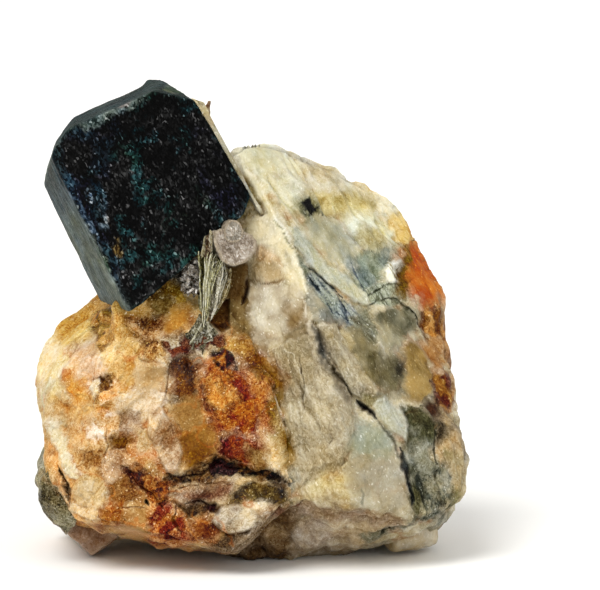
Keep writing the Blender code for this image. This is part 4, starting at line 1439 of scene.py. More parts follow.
@dataclass(frozen=True)
class StoneFinish:
    """Broken stone: the tint painted on the mesh, broken up by grains of three sizes.

    Light goes into the stone and out again, so a thicker or more stained grain is darker and
    deeper in colour at once: the tint is raised to a power that differs from grain to grain.

    Attributes:
        name: Name of the material.
        widths: Widths of the large, middle and fine grains in mm.
        spread: How much the power differs among them.
        slopes: How far their faces lean.
        long: How much longer the grains are along the cleavage.
        turn: Lean of the cleavage from upright in degrees.
        seam: Stain that has crept between the large grains.
        glint: Share of fine grains that are painted lighter as glints.
        shine: How much lighter the painted glints are.
        rough: Roughness of the matt and of the glassy parts.
        depth: How far light wanders in the stone, in mm.
        scatter: Share of the light that wanders.
        ior: Refractive index.
        specular: Strength of the gloss; half is a plain clean surface.
        drift: Width in mm of the bends in the grains' edges, and how far they reach.
        seam_patch: Width in mm of the areas where the seams are open.
        seam_edge: Share of a large grain that its seam takes.
    """

    name: str
    widths: Point = (2.2, 0.8, 0.15)
    spread: Point = (0.05, 0.08, 0.36)
    slopes: Point = (0.08, 0.12, 0.22)
    long: float = 1.6
    turn: float = -22.0
    seam: float = 0.3
    glint: float = 0.05
    shine: float = 2.0
    rough: tuple[float, float] = (0.62, 0.34)
    depth: float = 0.5
    scatter: float = 0.08
    ior: float = 1.53
    specular: float = 0.08
    drift: tuple[float, float] = (0.9, 0.7)
    seam_patch: float = 4.0
    seam_edge: float = 0.10

    def material(self) -> bpy.types.Material:
        """Build the material.

        Returns:
            The new material; it reads the mesh's tint, gloss and grit.
        """
        made = bpy.data.materials.new(self.name)
        made.use_nodes = True
        tree = made.node_tree
        shader = tree.nodes["Principled BSDF"]
        tint = add_node(tree, "ShaderNodeAttribute", attribute_name="tint").outputs["Color"]
        gloss = add_node(tree, "ShaderNodeAttribute", attribute_name="gloss").outputs["Fac"]
        grit = add_node(tree, "ShaderNodeAttribute", attribute_name="grit").outputs["Fac"]
        object_place = add_node(tree, "ShaderNodeTexCoord").outputs["Object"]
        turned = add_node(tree, "ShaderNodeMapping", {
            "Vector": object_place, "Rotation": (0.0, math.radians(self.turn), 0.0),
            "Scale": (1.0, 1.0, self.long)}, vector_type="TEXTURE").outputs["Vector"]
        # The noise runs from about a quarter to three quarters, so the edges wander by about a
        # quarter of the reach
        width, reach = self.drift
        half = (0.5, 0.5, 0.5)
        drift = add_node(tree, "ShaderNodeTexNoise", {
            "Vector": turned, "Scale": per_mm(width), "Detail": 2.0}).outputs["Color"]
        drift = add_node(
            tree, "ShaderNodeVectorMath", {0: drift, 1: half}, operation="SUBTRACT").outputs[0]
        place = add_node(tree, "ShaderNodeVectorMath", {
            0: drift, 1: (reach * MM,) * 3, 2: turned}, operation="MULTIPLY_ADD").outputs[0]
        power = None
        height = 0.0
        for width, spread, slope in zip(self.widths, self.spread, self.slopes):
            cells = add_node(tree, "ShaderNodeTexVoronoi", {"Vector": place, "Scale": per_mm(width)})
            random = add_node(tree, "ShaderNodeSeparateColor", {"Color": cells.outputs["Color"]})
            uneven = add_node(tree, "ShaderNodeMapRange", {
                "Value": random.outputs["Red"], "To Min": -spread, "To Max": spread}).outputs["Result"]
            power = uneven if power is None else add_node(
                tree, "ShaderNodeMath", {0: power, 1: uneven}, operation="ADD").outputs[0]
            # Every grain is a flat face that leans its own way
            away = add_node(tree, "ShaderNodeVectorMath", {
                0: place, 1: cells.outputs["Position"]}, operation="SUBTRACT").outputs[0]
            lean = add_node(tree, "ShaderNodeVectorMath", {
                0: cells.outputs["Color"], 1: half}, operation="SUBTRACT").outputs[0]
            rise = add_node(tree, "ShaderNodeVectorMath", {
                0: away, 1: lean}, operation="DOT_PRODUCT").outputs["Value"]
            height = add_node(tree, "ShaderNodeMath", {
                0: rise, 1: 2.0 * slope, 2: height}, operation="MULTIPLY_ADD").outputs[0]
        power = add_node(tree, "ShaderNodeMath", {0: power, 1: grit}, operation="MULTIPLY").outputs[0]
        rim = add_node(tree, "ShaderNodeTexVoronoi", {
            "Vector": place, "Scale": per_mm(self.widths[0])}, feature="DISTANCE_TO_EDGE").outputs["Distance"]
        patchy = add_node(tree, "ShaderNodeTexNoise", {
            "Vector": object_place, "Scale": per_mm(self.seam_patch), "Detail": 3.0}).outputs["Fac"]
        open_seam = add_node(tree, "ShaderNodeMapRange", {
            "Value": patchy, "From Min": 0.45, "From Max": 0.6, "To Min": 0.0,
            "To Max": self.seam}).outputs["Result"]
        seam = add_node(tree, "ShaderNodeMapRange", {
            "Value": rim, "From Min": 0.0, "From Max": self.seam_edge, "To Min": 1.0,
            "To Max": 0.0}).outputs["Result"]
        power = add_node(tree, "ShaderNodeMath", {
            0: seam, 1: open_seam, 2: power}, operation="MULTIPLY_ADD").outputs[0]
        # The last grains of the loop are the fine ones, and the brightest of them get painted glints, a
        # painted highlight in the colour
        painted_glints = add_node(tree, "ShaderNodeMapRange", {
            "Value": random.outputs["Green"], "From Min": 1.0 - self.glint, "From Max": 1.0,
            "To Min": 0.0, "To Max": -self.shine}).outputs["Result"]
        power = add_node(tree, "ShaderNodeMath", {
            0: painted_glints, 1: gloss, 2: power}, operation="MULTIPLY_ADD").outputs[0]
        power = add_node(tree, "ShaderNodeMath", {0: 2.0, 1: power}, operation="POWER").outputs[0]
        colour = add_node(tree, "ShaderNodeGamma", {"Color": tint, "Gamma": power}).outputs["Color"]
        rough = add_node(tree, "ShaderNodeMapRange", {
            "Value": gloss, "To Min": self.rough[0], "To Max": self.rough[1]}).outputs["Result"]
        bump = add_node(tree, "ShaderNodeBump", {
            "Height": height, "Strength": 1.0, "Distance": 1.0}).outputs["Normal"]
        tree.links.new(colour, shader.inputs["Base Color"])
        tree.links.new(rough, shader.inputs["Roughness"])
        tree.links.new(bump, shader.inputs["Normal"])
        shader.inputs["IOR"].default_value = self.ior
        shader.inputs["Specular IOR Level"].default_value = self.specular
        shader.inputs["Subsurface Weight"].default_value = self.scatter
        shader.inputs["Subsurface Radius"].default_value = (1.0, 0.8, 0.55)
        shader.inputs["Subsurface Scale"].default_value = self.depth * MM
        return made


# Feldspar: cleaved and sugary, so it is matt with long grains, and single ones painted lighter as glints
FELDSPAR_FINISH = StoneFinish("cleaved_feldspar")
# Quartz with iron stain: glassy grains, with rust that has crept between them
QUARTZ_FINISH = StoneFinish(
    "iron_stained_quartz", widths=(1.9, 0.7, 0.15), spread=(0.11, 0.19, 0.6), slopes=(0.14, 0.24, 0.3),
    long=1.2, turn=35.0, seam=0.25, glint=0.07, shine=1.8, rough=(0.55, 0.26), ior=1.54)
# Triphylite: nearly black, with a pitted skin on whose fine grains glints are painted
TRIPHYLITE_FINISH = StoneFinish(
    "dark_triphylite", widths=(1.6, 0.5, 0.21), spread=(0.02, 0.08, 0.75), slopes=(0.04, 0.10, 0.35),
    seam=0.0, glint=0.2, shine=1.1, rough=(0.5, 0.36), scatter=0.0, ior=1.69, specular=0.03)
# Mica: thin silvery leaves with a pearly gloss
MICA_FINISH = StoneFinish(
    "silvery_mica", widths=(1.2, 0.5, 0.15), spread=(0.12, 0.25, 0.8), slopes=(0.12, 0.25, 0.4), seam=0.0,
    glint=0.12, shine=1.5, rough=(0.42, 0.25), scatter=0.06, ior=1.58, specular=0.2)


@dataclass
class StoneMass:
    """A broken mass of one mineral: a soft-edged convex skin with worked relief and colour.

    Attributes:
        name: Name of the piece.
        centre: Middle of the mass in mm.
        faces: Azimuth, elevation and distance of the flat faces.
        roundness: Sharpness of the edges between them.
        steps: Squares along one side of the grid.
        finish: What it is made of.
        ground, pale, dark, rust: Colours of the plain stone away from the traced front.
        rusty: Strength of the iron stain there.
        stretch: Stretch of the grid along the axes.
        grain: How the plain stone breaks.
        stains: Stains that run round the sides.
        seed: Seed of all its noise.
        coarse: Height of the large swells in mm.
        cleavage: Direction in which the cleavage streaks run.
        traced: Whether the traced areas of the front lie on it.
        sheeted: Whether a front sheet covers its front.
        lit: How brightly it is lit, against the front of the block.
        veined: Strength of the fine rusty veins that run through it.
        thin: Azimuth and elevation along which a thin mass is flat, and its share of thickness.
    """

    name: str
    centre: Point
    faces: dict[str, Face]
    roundness: float
    steps: int
    finish: StoneFinish
    ground: str
    pale: str
    dark: str
    rust: str = "#a5662c"
    rusty: float = 0.5
    stretch: Point = (1.0, 1.0, 1.0)
    grain: Grain = Grain.CLEAVED
    stains: tuple[Stain, ...] = ()
    seed: int = 1
    coarse: float = 0.5
    cleavage: Point = (0.38, 0.05, -0.92)
    traced: bool = True
    sheeted: bool = False
    lit: float = 1.0
    veined: float = 0.1
    thin: Face | None = None

    def plain_tint(self, points: np.ndarray) -> np.ndarray:
        """Colour of the stone where no area is traced: three shades, rusty veins and stains.

        Args:
            points: Places in mm.

        Returns:
            Linear colours.
        """
        large = fractal(points, 9.0, self.seed + 3)
        middle = fractal(points, 4.0, self.seed + 4)
        veins = 1.0 - np.abs(fractal(points, 7.0, self.seed + 5))
        tint = all_over(pigment(self.ground), len(points))
        tint = blend(tint, pigment(self.pale), smoothstep(-0.1, 0.7, large))
        tint = blend(tint, pigment(self.dark), 0.8 * smoothstep(0.1, 0.8, middle))
        tint = blend(tint, pigment(self.rust), self.rusty * smoothstep(0.75, 0.98, veins))
        for stain in self.stains:
            away = np.linalg.norm(points - np.array(stain.centre), axis=1) / stain.reach
            share = stain.strength * smoothstep(1.15, 0.55, away + 0.25 * middle)
            tint = blend(tint, pigment(stain.colour), share)
        return tint

    def worked(self, skin: np.ndarray, normals: np.ndarray, quads: np.ndarray, sunk: np.ndarray) -> Surface:
        """Give a part of the skin its relief, fracture and colour, with painted shade and highlights.

        Args:
            skin: Places on the plain skin in mm.
            normals: Outward normals there.
            quads: Faces.
            sunk: How far each place is sunk below the finished surface in mm.

        Returns:
            The surface, with what the finish reads.
        """
        count = len(skin)
        swell = lattice(skin, 6.0, self.seed) + 0.5 * lattice(skin, 2.8, self.seed + 1)
        points = skin + normals * (self.coarse * swell)[:, None]
        feel = all_over(self.grain.value.row(), count)
        look = Look(self.plain_tint(points), feel, np.full(count, 0.2), np.zeros(count))
        if self.traced:
            front = smoothstep(-0.06, 0.14, normals @ VIEW.toward)
            FrontWork(points, front, look).lay(PATCHES, CRACKS)
        creep = smoothstep(0.86, 0.99, 1.0 - np.abs(fractal(points, 5.0, self.seed + 6, 4, 0.6)))
        creep *= self.veined * smoothstep(-0.1, 0.5, lattice(points, 5.0, self.seed + 7))
        look.tint = blend(look.tint, pigment(self.rust), creep)
        points = points + look.lift[:, None] * VIEW.toward
        height = fracture(points, look.feel, np.array(self.cleavage), self.seed)
        points = points + normals * height[:, None]
        points[:, 2] = np.maximum(points[:, 2], 0.0)
        tint = painted_shade_and_tone(points, quads, look, self.seed) / self.lit
        points = points - normals * sunk[:, None]
        return Surface(points, quads, tint, look.feel[:, 4], look.feel[:, 5])

    def build(self) -> bpy.types.Object:
        """Make the whole mass; where a front sheet covers it, it is sunk below the sheet.

        Returns:
            The new object.
        """
        directions, quads = cube_sphere(self.steps, self.stretch)
        if self.thin:
            flat = unit(*self.thin[:2])
            directions = directions - np.outer(directions @ flat, flat) * (1.0 - self.thin[2])
            directions /= np.linalg.norm(directions, axis=1)[:, None]
        level, normals = skin_level(directions, self.faces, self.roundness)
        skin = np.array(self.centre) + directions / level[:, None]
        sunk = np.zeros(len(skin))
        if self.sheeted:
            sunk = MASS_SUNK * smoothstep(0.26, 0.5, normals @ VIEW.toward)
        return self.worked(skin, normals, quads, sunk).shown(self.name, self.finish.material())

    def seen_skin(self, flat: np.ndarray) -> tuple[np.ndarray, np.ndarray, np.ndarray]:
        """Where the photograph's rays first meet the plain skin.

        Along a ray the level falls to one lowest point and rises again. That point is found
        by narrowing an interval, and then the crossing before it by halving.

        Args:
            flat: Places in the picture, in mm right of and above its middle.

        Returns:
            Places in mm, outward normals, and whether each ray meets the skin.
        """
        eye = VIEW.eye - np.array(self.centre)
        ray = VIEW.rays(flat)

        def level(share: np.ndarray) -> np.ndarray:
            """Level of the places at a share of each ray."""
            return skin_level(eye + ray * share[:, None], self.faces, self.roundness)[0]

        low = np.full(len(flat), NEAR_SHARE)
        high = np.full(len(flat), FAR_SHARE)
        for _ in range(LOWEST_ROUNDS):
            first = low + (high - low) * 0.4
            second = low + (high - low) * 0.6
            falls = level(first) > level(second)
            low = np.where(falls, first, low)
            high = np.where(falls, high, second)
        far = 0.5 * (low + high)
        met = level(far) < 1.0
        near = np.full(len(flat), NEAR_SHARE)
        for _ in range(SKIN_ROUNDS):
            middle = 0.5 * (near + far)
            inside = level(middle) < 1.0
            far = np.where(inside, middle, far)
            near = np.where(inside, near, middle)
        offsets = eye + ray * far[:, None]
        return offsets + np.array(self.centre), skin_level(offsets, self.faces, self.roundness)[1], met

    def reach_round(self, middle: np.ndarray) -> tuple[np.ndarray, np.ndarray]:
        """How far the front reaches in the picture, at equal angles round its middle.

        Args:
            middle: Middle of the front, in mm right of and above the picture's middle.

        Returns:
            The angles, and the reach in mm at each.
        """
        angles = np.arange(OUTLINE_COUNT) / OUTLINE_COUNT * 2.0 * math.pi
        spokes = np.stack((np.cos(angles), np.sin(angles)), axis=1)
        near = np.zeros(OUTLINE_COUNT)
        far = np.full(OUTLINE_COUNT, FRONT_REACH)
        for _ in range(OUTLINE_ROUNDS):
            half = 0.5 * (near + far)
            _, normals, met = self.seen_skin(middle + spokes * half[:, None])
            fronts = met & (normals @ VIEW.toward > FRONT_EDGE)
            near = np.where(fronts, half, near)
            far = np.where(fronts, far, half)
        return angles, near

    def front_sheet(self, name: str, steps: int) -> bpy.types.Object:
        """The worked front as a closed sheet of its own, fine enough for its steps and cracks.

        A square grid is laid over the front: its rings shrink from the front's outline to the
        middle. The rim dips into the mass, and a cap behind closes the sheet.

        Args:
            name: Name of the piece.
            steps: Squares along one side of the grid.

        Returns:
            The new object.
        """
        line = np.linspace(-1.0, 1.0, steps + 1)
        first, second = (grid.ravel() for grid in np.meshgrid(line, line, indexing="ij"))
        ring = np.maximum(np.abs(first), np.abs(second))
        angle = np.arctan2(second, first)
        middle = VIEW.plane(np.array(self.centre)[None] + 6.0 * VIEW.toward)[0]
        reach = np.interp(angle, *self.reach_round(middle), period=2.0 * math.pi)
        spoke = np.stack((np.cos(angle), np.sin(angle)), axis=1)
        skin, normals, _ = self.seen_skin(middle + spoke * (reach * ring)[:, None])
        index = np.arange((steps + 1) ** 2).reshape(steps + 1, steps + 1)
        quads = sheet_quads(index)
        sunk = -SHEET_LEAD + RIM_SUNK * smoothstep(0.975, 1.0, ring)
        sheet = self.worked(skin, normals, quads, sunk)
        rim = np.concatenate((index[:-1, 0], index[-1, :-1], index[:0:-1, -1], index[0, :0:-1]))
        behind = np.full(len(rim), len(sheet.points))
        sheet.faces = np.concatenate((quads, np.stack((np.roll(rim, -1), rim, behind, behind), axis=1)))
        sheet.points = np.concatenate((sheet.points, np.array(self.centre)[None]))
        sheet.tint, sheet.gloss, sheet.grit = (
            np.concatenate((values, values[:1])) for values in (sheet.tint, sheet.gloss, sheet.grit))
        return sheet.shown(name, self.finish.material())


@dataclass
class Look:
    """What is being painted on a mass: colour, how it breaks, light-dark contrast and lift in mm."""

    tint: np.ndarray
    feel: np.ndarray
    contrast: np.ndarray
    lift: np.ndarray

    def paint(self, rows: np.ndarray, colour: np.ndarray, share: np.ndarray) -> None:
        """Mix a colour into some rows."""
        self.tint[rows] = blend(self.tint[rows], colour, share)


@dataclass
class FrontWork:
    """The traced areas and cracks, laid over the front of a mass one after the other.

    A soft area's outline wanders and follows the edges of the grains; a crisp one keeps to its
    own. An area's colour is its mean, so the ground between the flecks is what they leave of it.

    Attributes:
        points: Places in mm.
        front: How fully each point faces the viewer, 0 to 1.
        look: What is painted, changed in place.
    """

    points: np.ndarray
    front: np.ndarray
    look: Look

    def __post_init__(self) -> None:
        """Work out where the points show, and the mottling that the areas share."""
        points = self.points
        own = grain_middles(points, GRAIN_WIDTH, 907)
        wander = np.stack([fractal(points, 2.4, seed, 4, 0.62) for seed in (901, 902)], axis=1)
        roam = np.stack([fractal(points, 5.0, seed, 5, 0.6) for seed in (911, 912)], axis=1)
        bent = points + np.stack((roam[:, 0], wander[:, 0], roam[:, 1]), axis=1)
        self.wander = wander
        self.crisp = VIEW.plane(points) + CRISP_WANDER * wander
        self.loose = VIEW.plane(points + SNAP * (own - points)) + SOFT_WANDER * roam
        # In the order of the patterns' numbers
        self.mottles = (
            fractal(0.5 * points + 0.5 * own, 1.8, 903, 4, 0.65),
            fractal(points, 3.0, 904, 3, 0.5),
            streaks(bent, unit(90.0, -60.0), 1.3, 4.0, 905),
            streaks(points, unit(90.0, -44.0), 0.4, 4.0, 906))

    def rows_near(self, flat: np.ndarray, outline: np.ndarray, margin: float) -> np.ndarray:
        """Rows of flat points in the box round an outline that face the viewer."""
        boxed = (flat > outline.min(0) - margin) & (flat < outline.max(0) + margin)
        return np.flatnonzero(boxed.all(1) & (self.front > 0.0))

    def mottled(self, patch: Patch, rows: np.ndarray) -> np.ndarray:
        """Colours of an area's ground and flecks.

        Args:
            patch: The area.
            rows: Points that it may cover.

        Returns:
            A linear colour for each of them.
        """
        ground = pigment(patch.colour)
        if not patch.fleck:
            return all_over(ground, len(rows))
        fleck = pigment(patch.fleck)
        ground = np.clip((ground - patch.share * fleck) / (1.0 - patch.share), 0.2 * ground, None)
        number, blur = patch.grain.value.pattern.value
        mottle = self.mottles[number]
        edge = np.quantile(mottle, 1.0 - patch.share)
        return blend(all_over(ground, len(rows)), fleck, smoothstep(edge - blur, edge + blur, mottle[rows]))

    def lay_patch(self, patch: Patch) -> None:
        """Lift, colour and break one traced area.

        Args:
            patch: The area.
        """
        outline = VIEW.trace(patch.outline)
        flat = self.crisp if patch.crisp else self.loose
        rows = self.rows_near(flat, outline, 2.5)
        if not len(rows):
            return
        look = self.look
        front = self.front[rows]
        depth = inside_distance(flat[rows], outline)
        offset = flat[rows] - outline.mean(0)
        rise = patch.rise * (0.3 if patch.crisp else 1.0)
        target = (CRISP_LIFT if patch.crisp else SOFT_LIFT) * (patch.lift + offset @ np.array(patch.lean))
        look.lift[rows] += (target - look.lift[rows]) * (smoothstep(-rise, rise, depth) * front)
        soft = min(0.3 if patch.crisp else patch.soft, max(0.7 * depth.max(), 0.1))
        share = smoothstep(-soft, soft, depth) * front
        look.paint(rows, self.mottled(patch, rows), share)
        look.feel[rows] = blend(look.feel[rows], patch.grain.value.row(), share)
        look.contrast[rows] += (patch.contrast - look.contrast[rows]) * share

    def lay_crack(self, crack: Crack) -> None:
        """Sink or raise one crack, and colour its floor. It thins out towards its ends.

        Args:
            crack: The crack.
        """
        path = VIEW.trace(crack.path)
        rows = self.rows_near(self.crisp, path, 3.0 * crack.half_width)
        if not len(rows):
            return
        look = self.look
        front = self.front[rows]
        away, place = path_distance(self.crisp[rows] + 0.10 * self.wander[rows], path)
        taper = np.sin(math.pi * np.clip(place, 0.02, 0.98)) ** 0.5
        width = crack.half_width * taper * (1.0 + 0.7 * self.wander[rows, 0])
        away = away / np.maximum(width, 0.04)
        look.lift[rows] -= CRISP_LIFT * crack.depth * taper * np.clip(1.0 - away, 0.0, 1.0) * front
        look.paint(rows, pigment(crack.colour), crack.stain * smoothstep(1.2, 0.2, away) * front)

    def lay(self, patches: dict[str, Patch], cracks: dict[str, Crack]) -> None:
        """Lay areas and then cracks, each over the ones before it.

        Args:
            patches: The areas in order.
            cracks: The cracks in order.
        """
        for patch in patches.values():
            self.lay_patch(patch)
        for crack in cracks.values():
            self.lay_crack(crack)


def fracture(points: np.ndarray, feel: np.ndarray, cleavage: np.ndarray, seed: int) -> np.ndarray:
    """Relief of the break in mm: flat facets of four sizes, shells of three, cleavage steps and crumb.

    Args:
        points: Places in mm.
        feel: Facet, bowl, streak, crumb, gloss and grit of each point.
        cleavage: Direction of the cleavage, along which the facets are long.
        seed: Seed of the noise.

    Returns:
        Height in mm at each point.
    """
    along = cleavage / np.linalg.norm(cleavage)
    across = np.cross(along, VIEW.toward)
    across /= np.linalg.norm(across)
    bent = drifted(points, 0.3, 2.0, seed + 20)
    turned = bent @ np.stack((along / FACET_LENGTH, across, np.cross(along, across)), axis=1)
    facets = sum(height * flat_facets(turned, size, seed + apart) for size, height, apart in FACETS)
    shells = sum(height * bowls(bent, size, seed + apart) for size, height, apart in SHELLS)
    treads = terraces(streaks(bent, along, 2.3, 11.0, seed + 33) * 1.5, 0.5)
    crumb = fractal(points, 0.5, seed + 34, 2, 0.7)
    return feel[:, 0] * facets + feel[:, 1] * shells + feel[:, 2] * treads + feel[:, 3] * crumb


def painted_shade_and_tone(points: np.ndarray, quads: np.ndarray, look: Look, seed: int) -> np.ndarray:
    """Vary the depth of colour, paint shade into the hollows and paint highlights onto the edges.

    The tint is raised to a power, so that it gets darker and richer at once.

    Args:
        points: Final places in mm.
        quads: Faces.
        look: Colours and contrast so far.
        seed: Seed of the noise.

    Returns:
        The colours, with painted shade in the hollows and painted highlights on the edges.
    """
    bent = drifted(points, 0.3, 2.0, seed + 20)
    mottle = fractal(points, 2.4, seed + 53, 5, 0.7)
    faceted = 1.2 * flat_facets(bent, 2.6, seed + 50) + 1.3 * flat_facets(bent, 1.1, seed + 51)
    depth = look.contrast * (faceted + 0.5 * mottle)
    # Painted shade darkens the hollows, and painted highlights pale the sharp edges
    hollow = hollowness(points, quads, 12)
    edge = hollowness(points, quads, 2)
    depth += 0.55 * smoothstep(0.03, 0.4, hollow) - 0.3 * smoothstep(0.004, 0.05, -edge)
    warm = (0.08 + 1.2 * look.contrast) * fractal(points, 3.2, seed + 55, 5, 0.65)
    hue = np.stack((1.0 + 0.1 * warm, 1.0 - 0.15 * warm, 1.0 - 0.8 * warm), axis=1)
    tint = np.clip(look.tint * hue, 0.0005, 0.95) ** (2.0 ** depth)[:, None]
    return np.clip(tint, 0.0, 0.95)


def feldspar_block() -> StoneMass:
    """The tall feldspar block on the right."""
    return StoneMass(
        "feldspar_block", (8.0, 1.0, 24.0), {
            "upper right slope": (54, 32, 15.4),
            "front": (-11, 4, 18.9),
            "front right": (28, 6, 19.7),
            "cream slope": (-20, 12, 19.0),
            "left side": (-85, 24, 23.0),
            "crest left": (-113, 48, 25.8),
            "crest": (151, 70, 26.2),
            "shoulder": (123, 58, 25.0),
            "upper right side": (107, 18, 21.5),
            "right side": (106, -3, 17.2),
            "low right side": (93, 4, 18.6),
            "underside": (0, -49, 23.9),
            "left underside": (-50, -53, 26.8),
            "right underside": (72, -43, 26.8),
            "low right underside": (46, -73, 24.9),
            "back": (172, 13, 15.9),
            "back left": (-140, 10, 20.1),
            "back right": (130, 10, 17.7),
            "low back": (175, -30, 21.8),
            "inner left": (-90, 0, 14.0),
            "floor": (0, -90, 24.6),
        }, 50.0, 84, FELDSPAR_FINISH, "#b9ac8c", "#d4c9aa", "#8d846a", rusty=0.45, stretch=(1.0, 0.9, 1.25),
        stains=FELDSPAR_STAINS, seed=21, sheeted=True, lit=1.0)


def stained_quartz() -> StoneMass:
    """The iron-stained quartz and feldspar mass on the left."""
    return StoneMass(
        "stained_quartz", (-13.2, -2.0, 16.8), {
            "left side": (-86, -5, 14.0),
            "upper left side": (-75, 25, 16.1),
            "left shoulder": (-62, 56, 15.8),
            "front left": (-40, 8, 16.0),
            "upper front left": (-22, 34, 18.5),
            "amber slope": (4, 26, 18.8),
            "front": (-3, 6, 16.3),
            "top": (-20, 78, 21.5),
            "low left": (-72, -32, 16.1),
            "underside": (-33, -68, 15.6),
            "back": (178, 12, 15.4),
            "back left": (-135, 8, 12.9),
            "right underside": (73, -46, 20.8),
            "seam": (109, 15, 12.1),
            "seam bevel": (52, 4, 24.4),
            "floor": (0, -90, 15.2),
        }, 50.0, 80, QUARTZ_FINISH, "#cba670", "#ecd2a2", "#a0764a", rust="#c0702a", rusty=0.6,
        grain=Grain.GLASSY, stains=QUARTZ_STAINS, seed=31, cleavage=(0.62, 0.2, 0.75), sheeted=True, lit=0.97,
        veined=0.55)


def quartz_seat() -> StoneMass:
    """The amber quartz that the crystal sits in."""
    return StoneMass(
        "amber_quartz_seat", (-10.9, -8.0, 34.2), {
            "front": (2, 14, 6.0),
            "right": (80, 10, 8.2),
            "left": (-85, 2, 6.8),
            "top": (-20, 75, 8.3),
            "top left": (-90, 53, 4.3),
            "back": (180, 5, 10.6),
            "bottom": (0, -90, 8.0),
        }, 30.0, 76, QUARTZ_FINISH, "#9c7838", "#c69a4c", "#6b4e22", rusty=0.3, coarse=0.25,
        grain=Grain.GLASSY, seed=41)


def dark_lump() -> StoneMass:
    """The grey-green lump at the lower left."""
    return StoneMass(
        "grey_green_lump", (-24.7, -11.4, 8.9), {
            "left": (-80, 10, 2.5),
            "front": (0, 10, 2.6),
            "low front": (-30, -40, 2.6),
            "top left": (-60, 50, 3.2),
            "top right": (60, 40, 3.5),
            "right": (100, -20, 3.0),
            "back": (180, 0, 8.5),
            "low left": (-90, -35, 2.4),
        }, 14.0, 44, QUARTZ_FINISH, "#6f664a", "#a39b78", "#2e2815", rusty=0.15, coarse=0.35,
        # The one stain is painted shade on the lump's right side and in its hole
        grain=Grain.CRUMBLED, stains=(Stain((-22.0, -10.0, 9.5), 2.6, "#14120c"),), seed=51, traced=False)


def left_nub() -> StoneMass:
    """The purple-brown quartz nub that the left side stands on."""
    return StoneMass(
        "left_quartz_nub", (-20.3, -5.0, 2.7), {
            "left": (-75, -5, 4.9),
            "low left": (-80, -48, 2.3),
            "front": (5, 8, 2.6),
            "low right": (80, -55, 1.9),
            "floor": (0, -90, 3.0),
            "top": (0, 80, 3.2),
            "back": (180, 0, 4.5),
            "right": (100, 0, 5.2),
            "upper left": (-60, 35, 4.0),
        }, 24.0, 44, QUARTZ_FINISH, "#b8977a", "#d2b294", "#8c6c54", rusty=0.2, coarse=0.2,
        grain=Grain.SMOOTH, seed=61, traced=False)


def right_nub() -> StoneMass:
    """The pale feldspar nub under the lower right corner."""
    return StoneMass(
        "right_feldspar_nub", (21.1, -6.0, 3.0), {
            "right": (70, 0, 2.4),
            "front": (0, 0, 2.4),
            "left": (-70, 0, 2.6),
            "floor": (0, -90, 2.2),
            "top": (0, 80, 2.6),
            "back": (180, 0, 4.5),
            "low front": (30, -55, 1.9),
        }, 8.0, 44, FELDSPAR_FINISH, "#c9b896", "#e2d3b0", "#9c8b6c", rusty=0.1, coarse=0.2,
        grain=Grain.SMOOTH, seed=71, traced=False)


